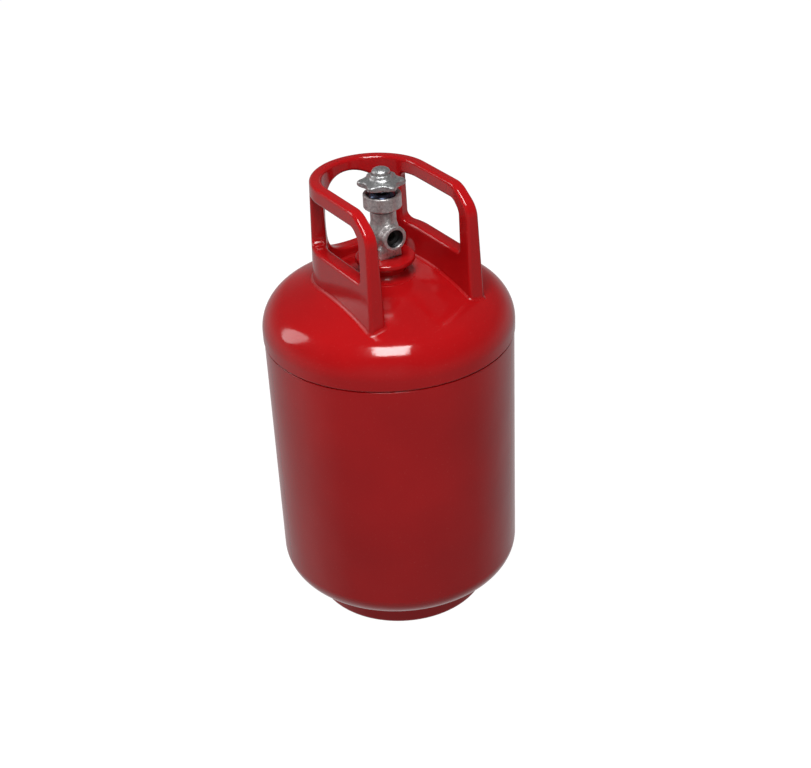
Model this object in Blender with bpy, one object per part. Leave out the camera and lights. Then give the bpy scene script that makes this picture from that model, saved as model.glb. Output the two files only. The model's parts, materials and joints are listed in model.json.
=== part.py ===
"""Propane tank: a welded two-part steel cylinder with a carrying guard, a foot ring and a handwheel valve.

Origin at the centre of the foot ring's underside, +Z up, the valve outlet points to -Y. Lengths in metres.
"""
import math

import bmesh
import bpy
from mathutils import Matrix, Vector

# Clearance between neighbouring pieces, and the sheet thickness of the vessel
GAP = 0.0003
WALL = 0.003

# Lower shell: one deep-drawn cup, its rim necked in under the upper head
SHELL_R = 0.150
SHELL_BASE_Z = 0.066
BASE_KNUCKLE_R = 0.030
BASE_CROWN_R = 0.340
LEDGE_Z = 0.364
NECKED_TOP_Z = 0.3765

# Upper head: a dished end whose skirt overhangs the lower shell
HEAD_R = 0.151
SEAM_Z = 0.366
SKIRT_TOP_Z = 0.377
HEAD_KNUCKLE_R = 0.0435
HEAD_CROWN_R = 0.352
HEAD_HOLE_R = 0.020

# Foot ring: rolled hoop with an inward curl
FOOT_R = 0.110
FOOT_CURL_R = 0.005
FOOT_LIP_R = 0.098

# Valve boss: flanged neck ring with a taper bore
BOSS_TOP_Z = 0.463
BOSS_DISC_R = 0.035
BOSS_DISC_H = 0.007
BOSS_NECK_R = 0.0232
BOSS_END_Z = 0.430
TAPER_TOP_R = 0.0143
TAPER_END_R = 0.0128

# Guard: hollow pressed U, open to the front, with three hand windows
GUARD_TOP_Z = 0.5548
GUARD_HALF_W = 0.0723
GUARD_T = 0.014
GUARD_DRAFT_OUT = 0.035
GUARD_DRAFT_IN = 0.012
GUARD_ARC_Y = 0.0207
GUARD_MID_R = 0.065
GUARD_FRONT_Y = -0.087
GUARD_LEAN = 0.043
GUARD_CHAMFER_Z = 0.5335
GUARD_CHAMFER_Y = -0.058
GUARD_FOOT_Z = 0.408
GUARD_EDGE_R = 0.004
GUARD_SHEET = 0.003
WINDOW_SILL_Z = 0.4742
WINDOW_HEAD_Z = 0.5360
WINDOW_REAR_U = 0.0725
POST_W = 0.0205
OVAL_MID_Z = 0.4921
OVAL_HALF_U = 0.0555
OVAL_HALF_Z = 0.0476

# Valve body, on the tank's axis
OUTLET_Z = 0.4912
OUTLET_R = 0.0150
OUTLET_BORE_R = 0.0108
OUTLET_FACE_Y = -0.025
OUTLET_DEPTH = 0.012
PASSAGE_R = 0.0045
COLUMN_R = 0.0150
COLUMN_TOP_Z = 0.5196
LUMP_R = 0.0172
BASE_HALF = 0.014
INLET_R = 0.0040
SEAT_R = 0.0058
SEAT_Z = 0.487
CHAMBER_R = 0.0100
CHAMBER_TOP_Z = 0.506
SPIGOT_BORE_R = 0.0121
RELIEF_Z = 0.480
RELIEF_R = 0.0100
RELIEF_VENT_R = 0.0025
RELIEF_BORE_R = 0.0070
RELIEF_SEAT_Y = 0.0115
RELIEF_FACE_Y = 0.028

# Bonnet, screwed into the body, and the gland nut in it
BONNET_R = 0.0222
BONNET_Z = 0.5212
BONNET_TOP_Z = 0.5400
BONNET_SPIGOT_R = 0.0118
BONNET_END_Z = 0.5063
CAVITY_R = 0.0120
CAVITY_Z = 0.5246
CUP_R = 0.0185
CUP_Z = 0.5333
GUIDE_TOP_Z = 0.518
GLAND_R = 0.0155
GLAND_TOP_Z = 0.5420

# Spindle
SPINDLE_R = 0.0046
STEM_BORE_R = 0.0050
DOG_R = 0.0033
DOG_END_Z = 0.5035
DOG_TOP_Z = 0.5185
COLLAR_R = 0.0075
COLLAR_Z = 0.5249
COLLAR_TOP_Z = 0.5279
STUD_R = 0.0027
STUD_Z = 0.5515
STUD_TOP_Z = 0.5668
DRIVE_R = 0.0043
DRIVE_Z = 0.5505
DRIVE_TOP_Z = 0.5600

# Plug, a hexagon that the spindle lifts off the seat
PLUG_HEX_R = 0.0081
PLUG_TOP_Z = 0.5120
PLUG_BORE_R = 0.0038
PLUG_BORE_Z = 0.4985
DISC_H = 0.0032

# Handwheel: six-lobed star
WHEEL_TIP_R = 0.028
WHEEL_VALLEY_R = 0.0215
WHEEL_LOBES = 6
WHEEL_UNDER_Z = 0.5488
WHEEL_TOP_Z = 0.5566
HUB_UNDER_Z = 0.5446
HUB_R = 0.0122
HUB_TOP_Z = 0.5640
RECESS_R = 0.0112
RECESS_Z = 0.5605
WASHER_H = 0.0007
NUT_R = 0.0108
NUT_TOP_Z = 0.5710

# Facets round a full turn, and the guard's bends on each side of its middle
SHELL_SIDES = 48
BOSS_SIDES = 32
VALVE_SIDES = 24
SMALL_SIDES = 16
OVAL_SIDES = 24
GUARD_BENDS = 9

ABOUT_X = Matrix.Rotation(math.radians(90.0), 4, "X")
TO_FRONT = Matrix.Translation((0.0, 0.0, OUTLET_Z)) @ ABOUT_X
TO_BACK = Matrix.Translation((0.0, 0.0, RELIEF_Z)) @ ABOUT_X.inverted()


def clear_scene():
    for old in list(bpy.data.objects):
        bpy.data.objects.remove(old, do_unlink=True)


def make_material(name, color, roughness, metallic):
    material = bpy.data.materials.new(name)
    material.use_nodes = True
    shader = material.node_tree.nodes["Principled BSDF"]
    shader.inputs["Base Color"].default_value = (*color, 1.0)
    shader.inputs["Roughness"].default_value = roughness
    shader.inputs["Metallic"].default_value = metallic
    material.diffuse_color = (*color, 1.0)
    return material


def add_object(name, bm, material, matrix=None):
    """Close the mesh off as one named object, shaded smooth with its sharp edges kept."""
    bmesh.ops.recalc_face_normals(bm, faces=bm.faces)
    if bm.calc_volume(signed=True) < 0.0:
        bmesh.ops.reverse_faces(bm, faces=bm.faces)
    mesh = bpy.data.meshes.new(name)
    bm.to_mesh(mesh)
    bm.free()
    if matrix is not None:
        mesh.transform(matrix)
    mesh.shade_smooth()
    mesh.set_sharp_from_angle(angle=math.radians(35.0))
    obj = bpy.data.objects.new(name, mesh)
    bpy.context.collection.objects.link(obj)
    if material is not None:
        mesh.materials.append(material)
    return obj


def lathe(profile, sides, turn=0.0):
    """Turn a closed (radius, height) outline about Z; a point at radius 0 becomes a pole."""
    bm = bmesh.new()
    rings = []
    for radius, height in profile:
        if radius < 1e-7:
            rings.append([bm.verts.new((0.0, 0.0, height))] * sides)
            continue
        angles = [turn + 2.0 * math.pi * step / sides for step in range(sides)]
        rings.append([bm.verts.new((radius * math.cos(a), radius * math.sin(a), height)) for a in angles])
    for index, ring in enumerate(rings):
        other = rings[(index + 1) % len(rings)]
        for step in range(sides):
            after = (step + 1) % sides
            corners = []
            for vert in (ring[step], ring[after], other[after], other[step]):
                if vert not in corners:
                    corners.append(vert)
            if len(corners) > 2:
                bm.faces.new(corners)
    return bm


def arc(centre, radius, start, end, count):
    """Points of an arc in the (radius, height) plane, angles in degrees from the outward direction."""
    points = []
    for step in range(count + 1):
        a = math.radians(start + (end - start) * step / count)
        points.append((centre[0] + radius * math.cos(a), centre[1] + radius * math.sin(a)))
    return points


def dish(edge_r, edge_z, knuckle_r, crown_r, inner_r, up, knuckle_steps, crown_steps):
    """Profile of a dished end from its straight edge to inner_r; up is +1 for a head, -1 for a base."""
    tilt = math.degrees(math.asin((edge_r - knuckle_r) / (crown_r - knuckle_r)))
    knuckle = arc((edge_r - knuckle_r, 0.0), knuckle_r, 0.0, 90.0 - tilt, knuckle_steps)
    drop = math.sqrt((crown_r - knuckle_r) ** 2 - (edge_r - knuckle_r) ** 2)
    last = math.degrees(math.acos(inner_r / crown_r))
    crown = arc((0.0, -drop), crown_r, 90.0 - tilt, last, crown_steps)[1:]
    return [(r, edge_z + up * z) for r, z in knuckle + crown]


def boolean(target, cutter, operation):
    modifier = target.modifiers.new(cutter.name, "BOOLEAN")
    modifier.operation = operation
    modifier.solver = "EXACT"
    modifier.object = cutter
    cutter.hide_render = True
    cutter.display_type = "WIRE"


def rounded_outline(corners, radii, grow, steps):
    """Counter-clockwise outline with rounded corners, moved outwards by grow."""
    count = len(corners)
    normals = []
    for index in range(count):
        along = (corners[(index + 1) % count] - corners[index]).normalized()
        normals.append(Vector((along.y, -along.x)))
    points = []
    for index in range(count):
        before = normals[index - 1]
        after = normals[index]
        bisector = (before + after) / (1.0 + before.dot(after))
        radius = max(radii[index] + grow, 0.0003)
        centre = corners[index] + bisector * (grow - radius)
        start = math.atan2(before.y, before.x)
        sweep = math.atan2(before.cross(after), before.dot(after))
        for step in range(steps + 1):
            a = start + sweep * step / steps
            points.append(centre + radius * Vector((math.cos(a), math.sin(a))))
    return points


# ------------------------------------------------------------------ vessel
def shell_profile():
    outer = [(SHELL_R - 0.0023, NECKED_TOP_Z), (SHELL_R - 0.0023, LEDGE_Z), (SHELL_R - 0.0006, LEDGE_Z)]
    outer += [(SHELL_R, LEDGE_Z - 0.0006)]
    outer += dish(SHELL_R, SHELL_BASE_Z, BASE_KNUCKLE_R, BASE_CROWN_R, 0.0, -1, 5, 4)
    inner = dish(SHELL_R - WALL, SHELL_BASE_Z, BASE_KNUCKLE_R - WALL, BASE_CROWN_R - WALL, 0.0, -1, 3, 3)
    inner.reverse()
    inner += [(SHELL_R - WALL, LEDGE_Z - 0.012), (SHELL_R - 0.0053, LEDGE_Z - 0.004)]
    inner += [(SHELL_R - 0.0053, NECKED_TOP_Z)]
    return outer + inner


def head_curve(offset, knuckle_steps=6, crown_steps=4):
    """The upper head's surface, offset along its normal, from its skirt to its centre hole."""
    knuckle = HEAD_KNUCKLE_R + offset
    crown = HEAD_CROWN_R + offset
    return dish(HEAD_R + offset, SKIRT_TOP_Z, knuckle, crown, HEAD_HOLE_R, 1, knuckle_steps, crown_steps)


def head_profile():
    outer = [(HEAD_R, SEAM_Z)] + head_curve(0.0)
    inner = head_curve(-WALL, 4, 3)
    inner.reverse()
    return outer + inner + [(HEAD_R - WALL, SEAM_Z)]


def head_height(radius):
    """Height of the head's outer surface at a radius on its crown."""
    drop = math.sqrt((HEAD_CROWN_R - HEAD_KNUCKLE_R) ** 2 - (HEAD_R - HEAD_KNUCKLE_R) ** 2)
    return SKIRT_TOP_Z - drop + math.sqrt(HEAD_CROWN_R ** 2 - radius ** 2)


def base_height(radius):
    """Height of the lower shell's underside at a radius on its crown."""
    drop = math.sqrt((BASE_CROWN_R - BASE_KNUCKLE_R) ** 2 - (SHELL_R - BASE_KNUCKLE_R) ** 2)
    return SHELL_BASE_Z + drop - math.sqrt(BASE_CROWN_R ** 2 - radius ** 2)


def build_vessel(paint, weld):
    add_object("lower_shell", lathe(shell_profile(), SHELL_SIDES), paint)
    add_object("upper_head", lathe(head_profile(), SHELL_SIDES), paint)
    bead = [(SHELL_R - 0.0020, LEDGE_Z + GAP), (SHELL_R - 0.0010, LEDGE_Z + GAP)]
    bead += [(SHELL_R - 0.0007, (LEDGE_Z + SEAM_Z) / 2.0), (SHELL_R - 0.0010, SEAM_Z - GAP)]
    bead += [(SHELL_R - 0.0020, SEAM_Z - GAP)]
    add_object("girth_weld", lathe(bead, SHELL_SIDES), weld)


def build_boss(paint, weld):
    neck_z = head_height(0.0) + GAP
    spigot_r = HEAD_HOLE_R - GAP
    disc_z = BOSS_TOP_Z - BOSS_DISC_H
    profile = [(TAPER_TOP_R, BOSS_TOP_Z), (TAPER_END_R, BOSS_END_Z), (spigot_r, BOSS_END_Z)]
    profile += [(spigot_r, neck_z), (BOSS_NECK_R, neck_z), (BOSS_NECK_R, disc_z)]
    profile += [(BOSS_DISC_R - 0.002, disc_z), (BOSS_DISC_R - 0.0006, disc_z + 0.0006)]
    profile += [(BOSS_DISC_R, disc_z + 0.002), (BOSS_DISC_R, BOSS_TOP_Z - 0.003)]
    profile += [(BOSS_DISC_R - 0.0008, BOSS_TOP_Z - 0.0010), (BOSS_DISC_R - 0.003, BOSS_TOP_Z)]
    add_object("valve_boss", lathe(profile, BOSS_SIDES), paint)
    inside = BOSS_NECK_R + GAP
    outside = BOSS_NECK_R + 0.0050
    bead = [(inside, head_height(inside) + GAP), (outside, head_height(outside) + GAP)]
    bead += [(outside - 0.0002, head_height(outside) + 0.0010), (inside + 0.0017, neck_z + 0.0017)]
    bead += [(inside + 0.0003, neck_z + 0.0048), (inside, neck_z + 0.0048)]
    add_object("boss_weld", lathe(bead, BOSS_SIDES), weld)


def build_foot(paint, weld):
    inner_r = FOOT_R - WALL
    centre = (FOOT_R - FOOT_CURL_R, FOOT_CURL_R)
    profile = [(FOOT_R, base_height(FOOT_R) - GAP)]
    profile += arc(centre, FOOT_CURL_R, 0.0, -90.0, 3)
    profile += [(FOOT_LIP_R, 0.0), (FOOT_LIP_R, WALL)]
    profile += arc(centre, FOOT_CURL_R - WALL, -90.0, 0.0, 2)
    profile += [(inner_r, base_height(inner_r) - GAP)]
    add_object("foot_ring", lathe(profile, SHELL_SIDES), paint)
    near = FOOT_R + GAP
    far = FOOT_R + 0.0045
    bead = [(near, base_height(near) - GAP), (near, base_height(near) - 0.0045)]
    bead += [(near + 0.0013, base_height(near) - 0.0020), (far, base_height(far) - 0.0012)]
    bead += [(far, base_height(far) - GAP)]
    add_object("foot_ring_weld", lathe(bead, SHELL_SIDES), weld)


# ------------------------------------------------------------------ guard
ARC_U = GUARD_MID_R * math.pi / 2.0


def front_u(height):
    """Distance along the guard, from the middle of its back, to its leaning front end."""
    return ARC_U + GUARD_ARC_Y - GUARD_FRONT_Y + GUARD_LEAN * (GUARD_CHAMFER_Z - height)


def guard_corners():
    """Corners of the unrolled guard in (along, height), counter-clockwise, and their radii."""
    top_u = ARC_U + GUARD_ARC_Y - GUARD_CHAMFER_Y
    half = [(front_u(GUARD_FOOT_Z), GUARD_FOOT_Z), (front_u(GUARD_CHAMFER_Z), GUARD_CHAMFER_Z)]
    half += [(top_u, GUARD_TOP_Z)]
    mirrored = [(-u, z) for u, z in reversed(half)]
    return [Vector(corner) for corner in half + mirrored], [0.0045, 0.026, 0.030, 0.030, 0.026, 0.0045]


def window_corners():
    """Corners and radii of the right side window, whose upper front corner follows the guard's slope."""
    slope_z = GUARD_CHAMFER_Z - 0.0085
    slope_u = front_u(slope_z) - POST_W
    corners = [(WINDOW_REAR_U, WINDOW_SILL_Z), (front_u(WINDOW_SILL_Z) - POST_W, WINDOW_SILL_Z)]
    corners += [(slope_u, slope_z), (slope_u - 0.011, WINDOW_HEAD_Z), (WINDOW_REAR_U, WINDOW_HEAD_Z)]
    return [Vector(corner) for corner in corners], [0.009, 0.005, 0.012, 0.014, 0.006]


def oval_outline(grow):
    """The back window in (along, height), moved outwards by grow."""
    points = []
    for step in range(OVAL_SIDES):
        a = 2.0 * math.pi * step / OVAL_SIDES
        edge = Vector((OVAL_HALF_U * math.cos(a), OVAL_MID_Z + OVAL_HALF_Z * math.sin(a)))
        normal = Vector((math.cos(a) / OVAL_HALF_U, math.sin(a) / OVAL_HALF_Z)).normalized()
        points.append(edge + grow * normal)
    return points


def guard_bend(along, depth, height):
    """Place a point of the unrolled guard: depth is 0 on its outer face and 1 on its inner face."""
    below = GUARD_TOP_Z - height
    outer = GUARD_HALF_W + GUARD_DRAFT_OUT * below
    thickness = GUARD_T + (GUARD_DRAFT_OUT + GUARD_DRAFT_IN) * below
    half_width = outer - depth * thickness
    distance = abs(along)
    side = math.copysign(1.0, along)
    if distance < ARC_U:
        a = distance / GUARD_MID_R
        return Vector((side * half_width * math.sin(a), GUARD_ARC_Y + half_width * math.cos(a), height))
    return Vector((side * half_width, GUARD_ARC_Y - (distance - ARC_U), height))


def guard_loops(shrink, steps):
    """Outlines of the guard and its three windows, the solid between them drawn in by shrink."""
    corners, radii = window_corners()
    mirrored = [Vector((-corner.x, corner.y)) for corner in reversed(corners)]
    loops = [rounded_outline(*guard_corners(), -shrink, steps)]
    loops.append(rounded_outline(corners, radii, shrink, steps))
    loops.append(rounded_outline(mirrored, list(reversed(radii)), shrink, steps))
    loops.append(oval_outline(shrink))
    return loops


def guard_solid(shrink, edge_r, edge_steps, corner_steps, bends):
    """Closed guard body, shrunk on every side by shrink, its face edges rounded by edge_r."""
    bm = bmesh.new()
    levels = []
    for step in range(edge_steps + 1):
        a = math.radians(90.0 * step / edge_steps)
        levels.append((edge_r * (1.0 - math.sin(a)), edge_r * (1.0 - math.cos(a)), 0))
    levels += [(inset, depth, 1) for inset, depth, _face in reversed(levels)]
    rows = []
    for inset, depth, face in levels:
        rows.append([])
        for points in guard_loops(shrink + inset, corner_steps):
            wall = shrink + depth
            y = wall if face == 0 else 1.0 - wall
            rows[-1].append([bm.verts.new((p.x, y, p.y)) for p in points])
    for near, far in zip(rows, rows[1:]):
        for ring, other in zip(near, far):
            count = len(ring)
            for index in range(count):
                after = (index + 1) % count
                bm.faces.new((ring[index], ring[after], other[after], other[index]))
    for row in (rows[0], rows[-1]):
        edges = []
        for ring in row:
            count = len(ring)
            edges += [bm.edges.get((ring[index], ring[(index + 1) % count])) for index in range(count)]
        bmesh.ops.triangle_fill(bm, use_beauty=True, use_dissolve=False, edges=edges)
    for step in range(-bends, bends + 1):
        along = ARC_U * step / bends
        geometry = list(bm.verts) + list(bm.edges) + list(bm.faces)
        bmesh.ops.bisect_plane(bm, geom=geometry, dist=1e-6, plane_co=(along, 0, 0), plane_no=(1, 0, 0))
    for vert in bm.verts:
        depth = vert.co.y
        thickness = GUARD_T + (GUARD_DRAFT_OUT + GUARD_DRAFT_IN) * (GUARD_TOP_Z - vert.co.z)
        share = depth / thickness if depth < 0.5 else 1.0 - (1.0 - depth) / thickness
        vert.co = guard_bend(vert.co.x, share, vert.co.z)
    return bm


def build_guard(paint):
    guard = add_object("guard", guard_solid(0.0, GUARD_EDGE_R, 2, 3, GUARD_BENDS), paint)
    hollow = add_object("guard_hollow", guard_solid(GUARD_SHEET, 0.0015, 1, 1, GUARD_BENDS), None)
    boolean(guard, hollow, "DIFFERENCE")
    dome = [(HEAD_R + GAP, SEAM_Z)] + head_curve(GAP)
    dome += [(0.0, head_height(0.0) + GAP), (0.0, SEAM_Z)]
    boolean(guard, add_object("guard_foot_cutter", lathe(dome, SHELL_SIDES), None), "DIFFERENCE")


# ------------------------------------------------------------------ valve
def square_block(base_z):
    """The valve's square foot, tapering into the round body."""
    bm = bmesh.new()
    rings = []
    levels = ((BASE_HALF, base_z), (BASE_HALF, base_z + 0.012), (BASE_HALF - 0.003, base_z + 0.020))
    signs = ((1, 1), (-1, 1), (-1, -1), (1, -1))
    for half, height in levels:
        rings.append([bm.verts.new((half * x, half * y, height)) for x, y in signs])
    bm.faces.new(rings[0])
    bm.faces.new(rings[-1])
    for ring, other in zip(rings, rings[1:]):
        for index in range(4):
            after = (index + 1) % 4
            bm.faces.new((ring[index], ring[after], other[after], other[index]))
    return bm


def build_valve_body(metal):
    top_r = TAPER_TOP_R - GAP
    end_z = BOSS_END_Z - 0.001
    column = [(0.0, end_z), (TAPER_END_R - GAP, end_z), (top_r, BOSS_TOP_Z), (top_r, BOSS_TOP_Z + 0.010)]
    column += [(LUMP_R, OUTLET_Z - 0.006), (LUMP_R, OUTLET_Z + 0.006), (COLUMN_R, OUTLET_Z + 0.015)]
    column += [(COLUMN_R, COLUMN_TOP_Z), (0.0, COLUMN_TOP_Z)]
    body = add_object("valve_body", lathe(column, VALVE_SIDES), metal)
    boolean(body, add_object("square_base", square_block(BOSS_TOP_Z + GAP), None), "UNION")

    reach = -OUTLET_FACE_Y
    root = CHAMBER_R - 0.004
    nozzle = [(0.0, root), (OUTLET_R, root), (OUTLET_R, reach - 0.001), (OUTLET_R - 0.001, reach)]
    nozzle += [(0.0, reach)]
    boolean(body, add_object("outlet_nozzle", lathe(nozzle, VALVE_SIDES), None, TO_FRONT), "UNION")
    relief = [(0.0, root), (RELIEF_R, root), (RELIEF_R, RELIEF_FACE_Y), (0.0, RELIEF_FACE_Y)]
    boolean(body, add_object("relief_boss", lathe(relief, VALVE_SIDES), None, TO_BACK), "UNION")

    floor_z = SEAT_Z - 0.0015
    above = COLUMN_TOP_Z + 0.005
    passage = [(0.0, end_z - 0.009), (INLET_R, end_z - 0.009), (INLET_R, SEAT_Z), (SEAT_R, SEAT_Z)]
    passage += [(SEAT_R + 0.0004, floor_z), (CHAMBER_R, floor_z), (CHAMBER_R, CHAMBER_TOP_Z)]
    passage += [(SPIGOT_BORE_R, CHAMBER_TOP_Z), (SPIGOT_BORE_R, above), (0.0, above)]
    boolean(body, add_object("inlet_passage", lathe(passage, VALVE_SIDES, 0.02), None), "DIFFERENCE")
    socket_end = reach - OUTLET_DEPTH
    start = SEAT_R + 0.0022
    outlet = [(0.0, start), (PASSAGE_R, start), (PASSAGE_R, socket_end), (OUTLET_BORE_R, socket_end)]
    outlet += [(OUTLET_BORE_R, reach - 0.0008), (OUTLET_BORE_R + 0.0016, reach + 0.0008)]
    outlet += [(0.0, reach + 0.0008)]
    boolean(body, add_object("outlet_passage", lathe(outlet, VALVE_SIDES), None, TO_FRONT), "DIFFERENCE")
    mouth = RELIEF_FACE_Y + 0.001
    vent = [(0.0, 0.001), (RELIEF_VENT_R, 0.001), (RELIEF_VENT_R, RELIEF_SEAT_Y)]
    vent += [(RELIEF_BORE_R, RELIEF_SEAT_Y), (RELIEF_BORE_R, mouth), (0.0, mouth)]
    boolean(body, add_object("relief_passage", lathe(vent, SMALL_SIDES), None, TO_BACK), "DIFFERENCE")


def build_outlet_gasket(rubber):
    near = -OUTLET_FACE_Y - OUTLET_DEPTH + GAP
    far = near + 0.0027
    hole_r = PASSAGE_R + 0.0011
    rim_r = OUTLET_BORE_R - GAP
    ring = [(hole_r, near), (rim_r, near), (rim_r, far), (hole_r, far)]
    add_object("outlet_gasket", lathe(ring, VALVE_SIDES), rubber, TO_FRONT)


def build_bonnet(metal, rubber, dark):
    flange = [(BONNET_SPIGOT_R, BONNET_Z), (COLUMN_R + 0.002, BONNET_Z), (BONNET_R, BONNET_Z + 0.0030)]
    flange += [(BONNET_R, BONNET_TOP_Z - 0.0010), (BONNET_R - 0.0010, BONNET_TOP_Z)]
    flange += [(CUP_R + 0.0007, BONNET_TOP_Z), (CUP_R, BONNET_TOP_Z - 0.0007), (CUP_R, CUP_Z)]
    flange += [(CAVITY_R, CUP_Z), (CAVITY_R, CAVITY_Z), (STEM_BORE_R, CAVITY_Z), (STEM_BORE_R, BONNET_END_Z)]
    flange += [(BONNET_SPIGOT_R, BONNET_END_Z)]
    bonnet = add_object("bonnet", lathe(flange, VALVE_SIDES), metal)
    guide_r = PLUG_HEX_R + 0.0007
    below = BONNET_END_Z - 0.006
    guide = [(0.0, below), (guide_r, below), (guide_r, GUIDE_TOP_Z), (0.0, GUIDE_TOP_Z)]
    boolean(bonnet, add_object("hex_guide", lathe(guide, 6), None), "DIFFERENCE")

    hole_r = BONNET_SPIGOT_R + 0.0005
    rim_r = COLUMN_R - GAP
    washer = [(hole_r, COLUMN_TOP_Z + GAP), (rim_r, COLUMN_TOP_Z + GAP), (rim_r, BONNET_Z - GAP)]
    washer += [(hole_r, BONNET_Z - GAP)]
    add_object("bonnet_gasket", lathe(washer, VALVE_SIDES), rubber)

    shank_r = CAVITY_R - GAP
    seat_z = CUP_Z + 0.0004
    end_z = COLLAR_TOP_Z + 0.0016
    groove_z = COLLAR_TOP_Z + 0.0068
    nut = [(STEM_BORE_R, end_z), (shank_r, end_z), (shank_r, seat_z), (GLAND_R, seat_z)]
    nut += [(GLAND_R, GLAND_TOP_Z - 0.0040), (GLAND_R - 0.0015, GLAND_TOP_Z - 0.0022)]
    nut += [(GLAND_R - 0.0050, GLAND_TOP_Z), (STEM_BORE_R, GLAND_TOP_Z), (STEM_BORE_R, groove_z + 0.0026)]
    nut += [(STEM_BORE_R + 0.0022, groove_z + 0.0026), (STEM_BORE_R + 0.0022, groove_z)]
    nut += [(STEM_BORE_R, groove_z)]
    add_object("gland_nut", lathe(nut, VALVE_SIDES), dark)


def build_spindle(metal, rubber):
    stem = [(0.0, DOG_END_Z), (DOG_R, DOG_END_Z), (DOG_R, DOG_TOP_Z), (SPINDLE_R, DOG_TOP_Z)]
    stem += [(SPINDLE_R, COLLAR_Z), (COLLAR_R, COLLAR_Z), (COLLAR_R, COLLAR_TOP_Z), (SPINDLE_R, COLLAR_TOP_Z)]
    stem += [(SPINDLE_R, STUD_Z), (STUD_R, STUD_Z), (STUD_R, STUD_TOP_Z), (0.0, STUD_TOP_Z)]
    spindle = add_object("spindle", lathe(stem, SMALL_SIDES), metal)
    drive = [(0.0, DRIVE_Z), (DRIVE_R, DRIVE_Z), (DRIVE_R, DRIVE_TOP_Z), (0.0, DRIVE_TOP_Z)]
    square = add_object("square_drive", lathe(drive, 4, math.pi / 4.0), None)
    boolean(spindle, square, "UNION")

    rim_r = CAVITY_R - 0.0005
    under = COLLAR_TOP_Z + GAP
    washer = [(STEM_BORE_R, under), (rim_r, under), (rim_r, under + 0.0010), (STEM_BORE_R, under + 0.0010)]
    add_object("thrust_washer", lathe(washer, VALVE_SIDES), metal)
    cord_r = 0.00095
    centre = (SPINDLE_R + GAP + 0.0001 + cord_r, COLLAR_TOP_Z + 0.0081)
    add_object("spindle_o_ring", lathe(arc(centre, cord_r, 0.0, 315.0, 7), SMALL_SIDES), rubber)


def star_radius(angle):
    """Outline of the handwheel: rounded lobes parted by scallops."""
    wave = 0.5 + 0.5 * math.cos(WHEEL_LOBES * (angle - math.pi / 2.0))
    return WHEEL_VALLEY_R + (WHEEL_TIP_R - WHEEL_VALLEY_R) * wave ** 1.4


def build_handwheel(metal, steel):
    """Star wheel as stacked rings of (radius, share of the lobed outline, height), with its nut and washer."""
    rings = [(0.0122, 0.0, HUB_UNDER_Z), (0.0138, 0.0, HUB_UNDER_Z + 0.0014), (0.0150, 0.0, WHEEL_UNDER_Z)]
    rings += [(-0.0025, 1.0, WHEEL_UNDER_Z), (0.0, 1.0, WHEEL_UNDER_Z + 0.0018)]
    rings += [(0.0, 1.0, WHEEL_TOP_Z - 0.0022), (-0.0018, 1.0, WHEEL_TOP_Z)]
    rings += [(0.0160, 0.0, WHEEL_TOP_Z + 0.0018), (0.0140, 0.0, WHEEL_TOP_Z + 0.0032)]
    rings += [(HUB_R, 0.0, HUB_TOP_Z - 0.0008), (HUB_R - 0.0006, 0.0, HUB_TOP_Z)]
    rings += [(RECESS_R, 0.0, HUB_TOP_Z), (RECESS_R, 0.0, RECESS_Z)]
    sides = WHEEL_LOBES * 6
    bm = bmesh.new()
    rows = []
    for radius, lobed, height in rings:
        rows.append([])
        for step in range(sides):
            a = 2.0 * math.pi * step / sides
            reach = radius + lobed * star_radius(a)
            rows[-1].append(bm.verts.new((reach * math.cos(a), reach * math.sin(a), height)))
    for row, other in zip(rows, rows[1:]):
        for step in range(sides):
            after = (step + 1) % sides
            bm.faces.new((row[step], row[after], other[after], other[step]))
    bm.faces.new(rows[0])
    bm.faces.new(rows[-1])
    wheel = add_object("handwheel", bm, metal)
    below = HUB_UNDER_Z - 0.005
    above = RECESS_Z + 0.005
    hole_r = DRIVE_R + 0.0005
    hole = [(0.0, below), (hole_r, below), (hole_r, above), (0.0, above)]
    boolean(wheel, add_object("square_hole", lathe(hole, 4, math.pi / 4.0), None), "DIFFERENCE")
    shoulder_z = STUD_Z + 0.0005
    shoulder_r = SPINDLE_R + 0.0005
    shoulder = [(0.0, below), (shoulder_r, below), (shoulder_r, shoulder_z), (0.0, shoulder_z)]
    boolean(wheel, add_object("stem_hole", lathe(shoulder, SMALL_SIDES), None), "DIFFERENCE")

    bore_r = STUD_R + 0.0005
    washer_z = RECESS_Z + GAP
    washer = [(bore_r, washer_z), (NUT_R - 0.0004, washer_z), (NUT_R - 0.0004, washer_z + WASHER_H)]
    washer += [(bore_r, washer_z + WASHER_H)]
    add_object("wheel_washer", lathe(washer, SMALL_SIDES), steel)
    nut_z = washer_z + WASHER_H + GAP
    crown_z = HUB_TOP_Z + 0.0010
    crown = arc((0.0, 0.0), 1.0, 22.5, 67.5, 2)
    nut = [(bore_r, nut_z), (NUT_R, nut_z), (NUT_R, crown_z)]
    nut += [(NUT_R * x, crown_z + (NUT_TOP_Z - crown_z) * y) for x, y in crown]
    nut += [(0.0, NUT_TOP_Z), (0.0, STUD_TOP_Z + 0.0010), (bore_r, STUD_TOP_Z + 0.0010)]
    add_object("wheel_nut", lathe(nut, SMALL_SIDES), steel)


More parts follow.
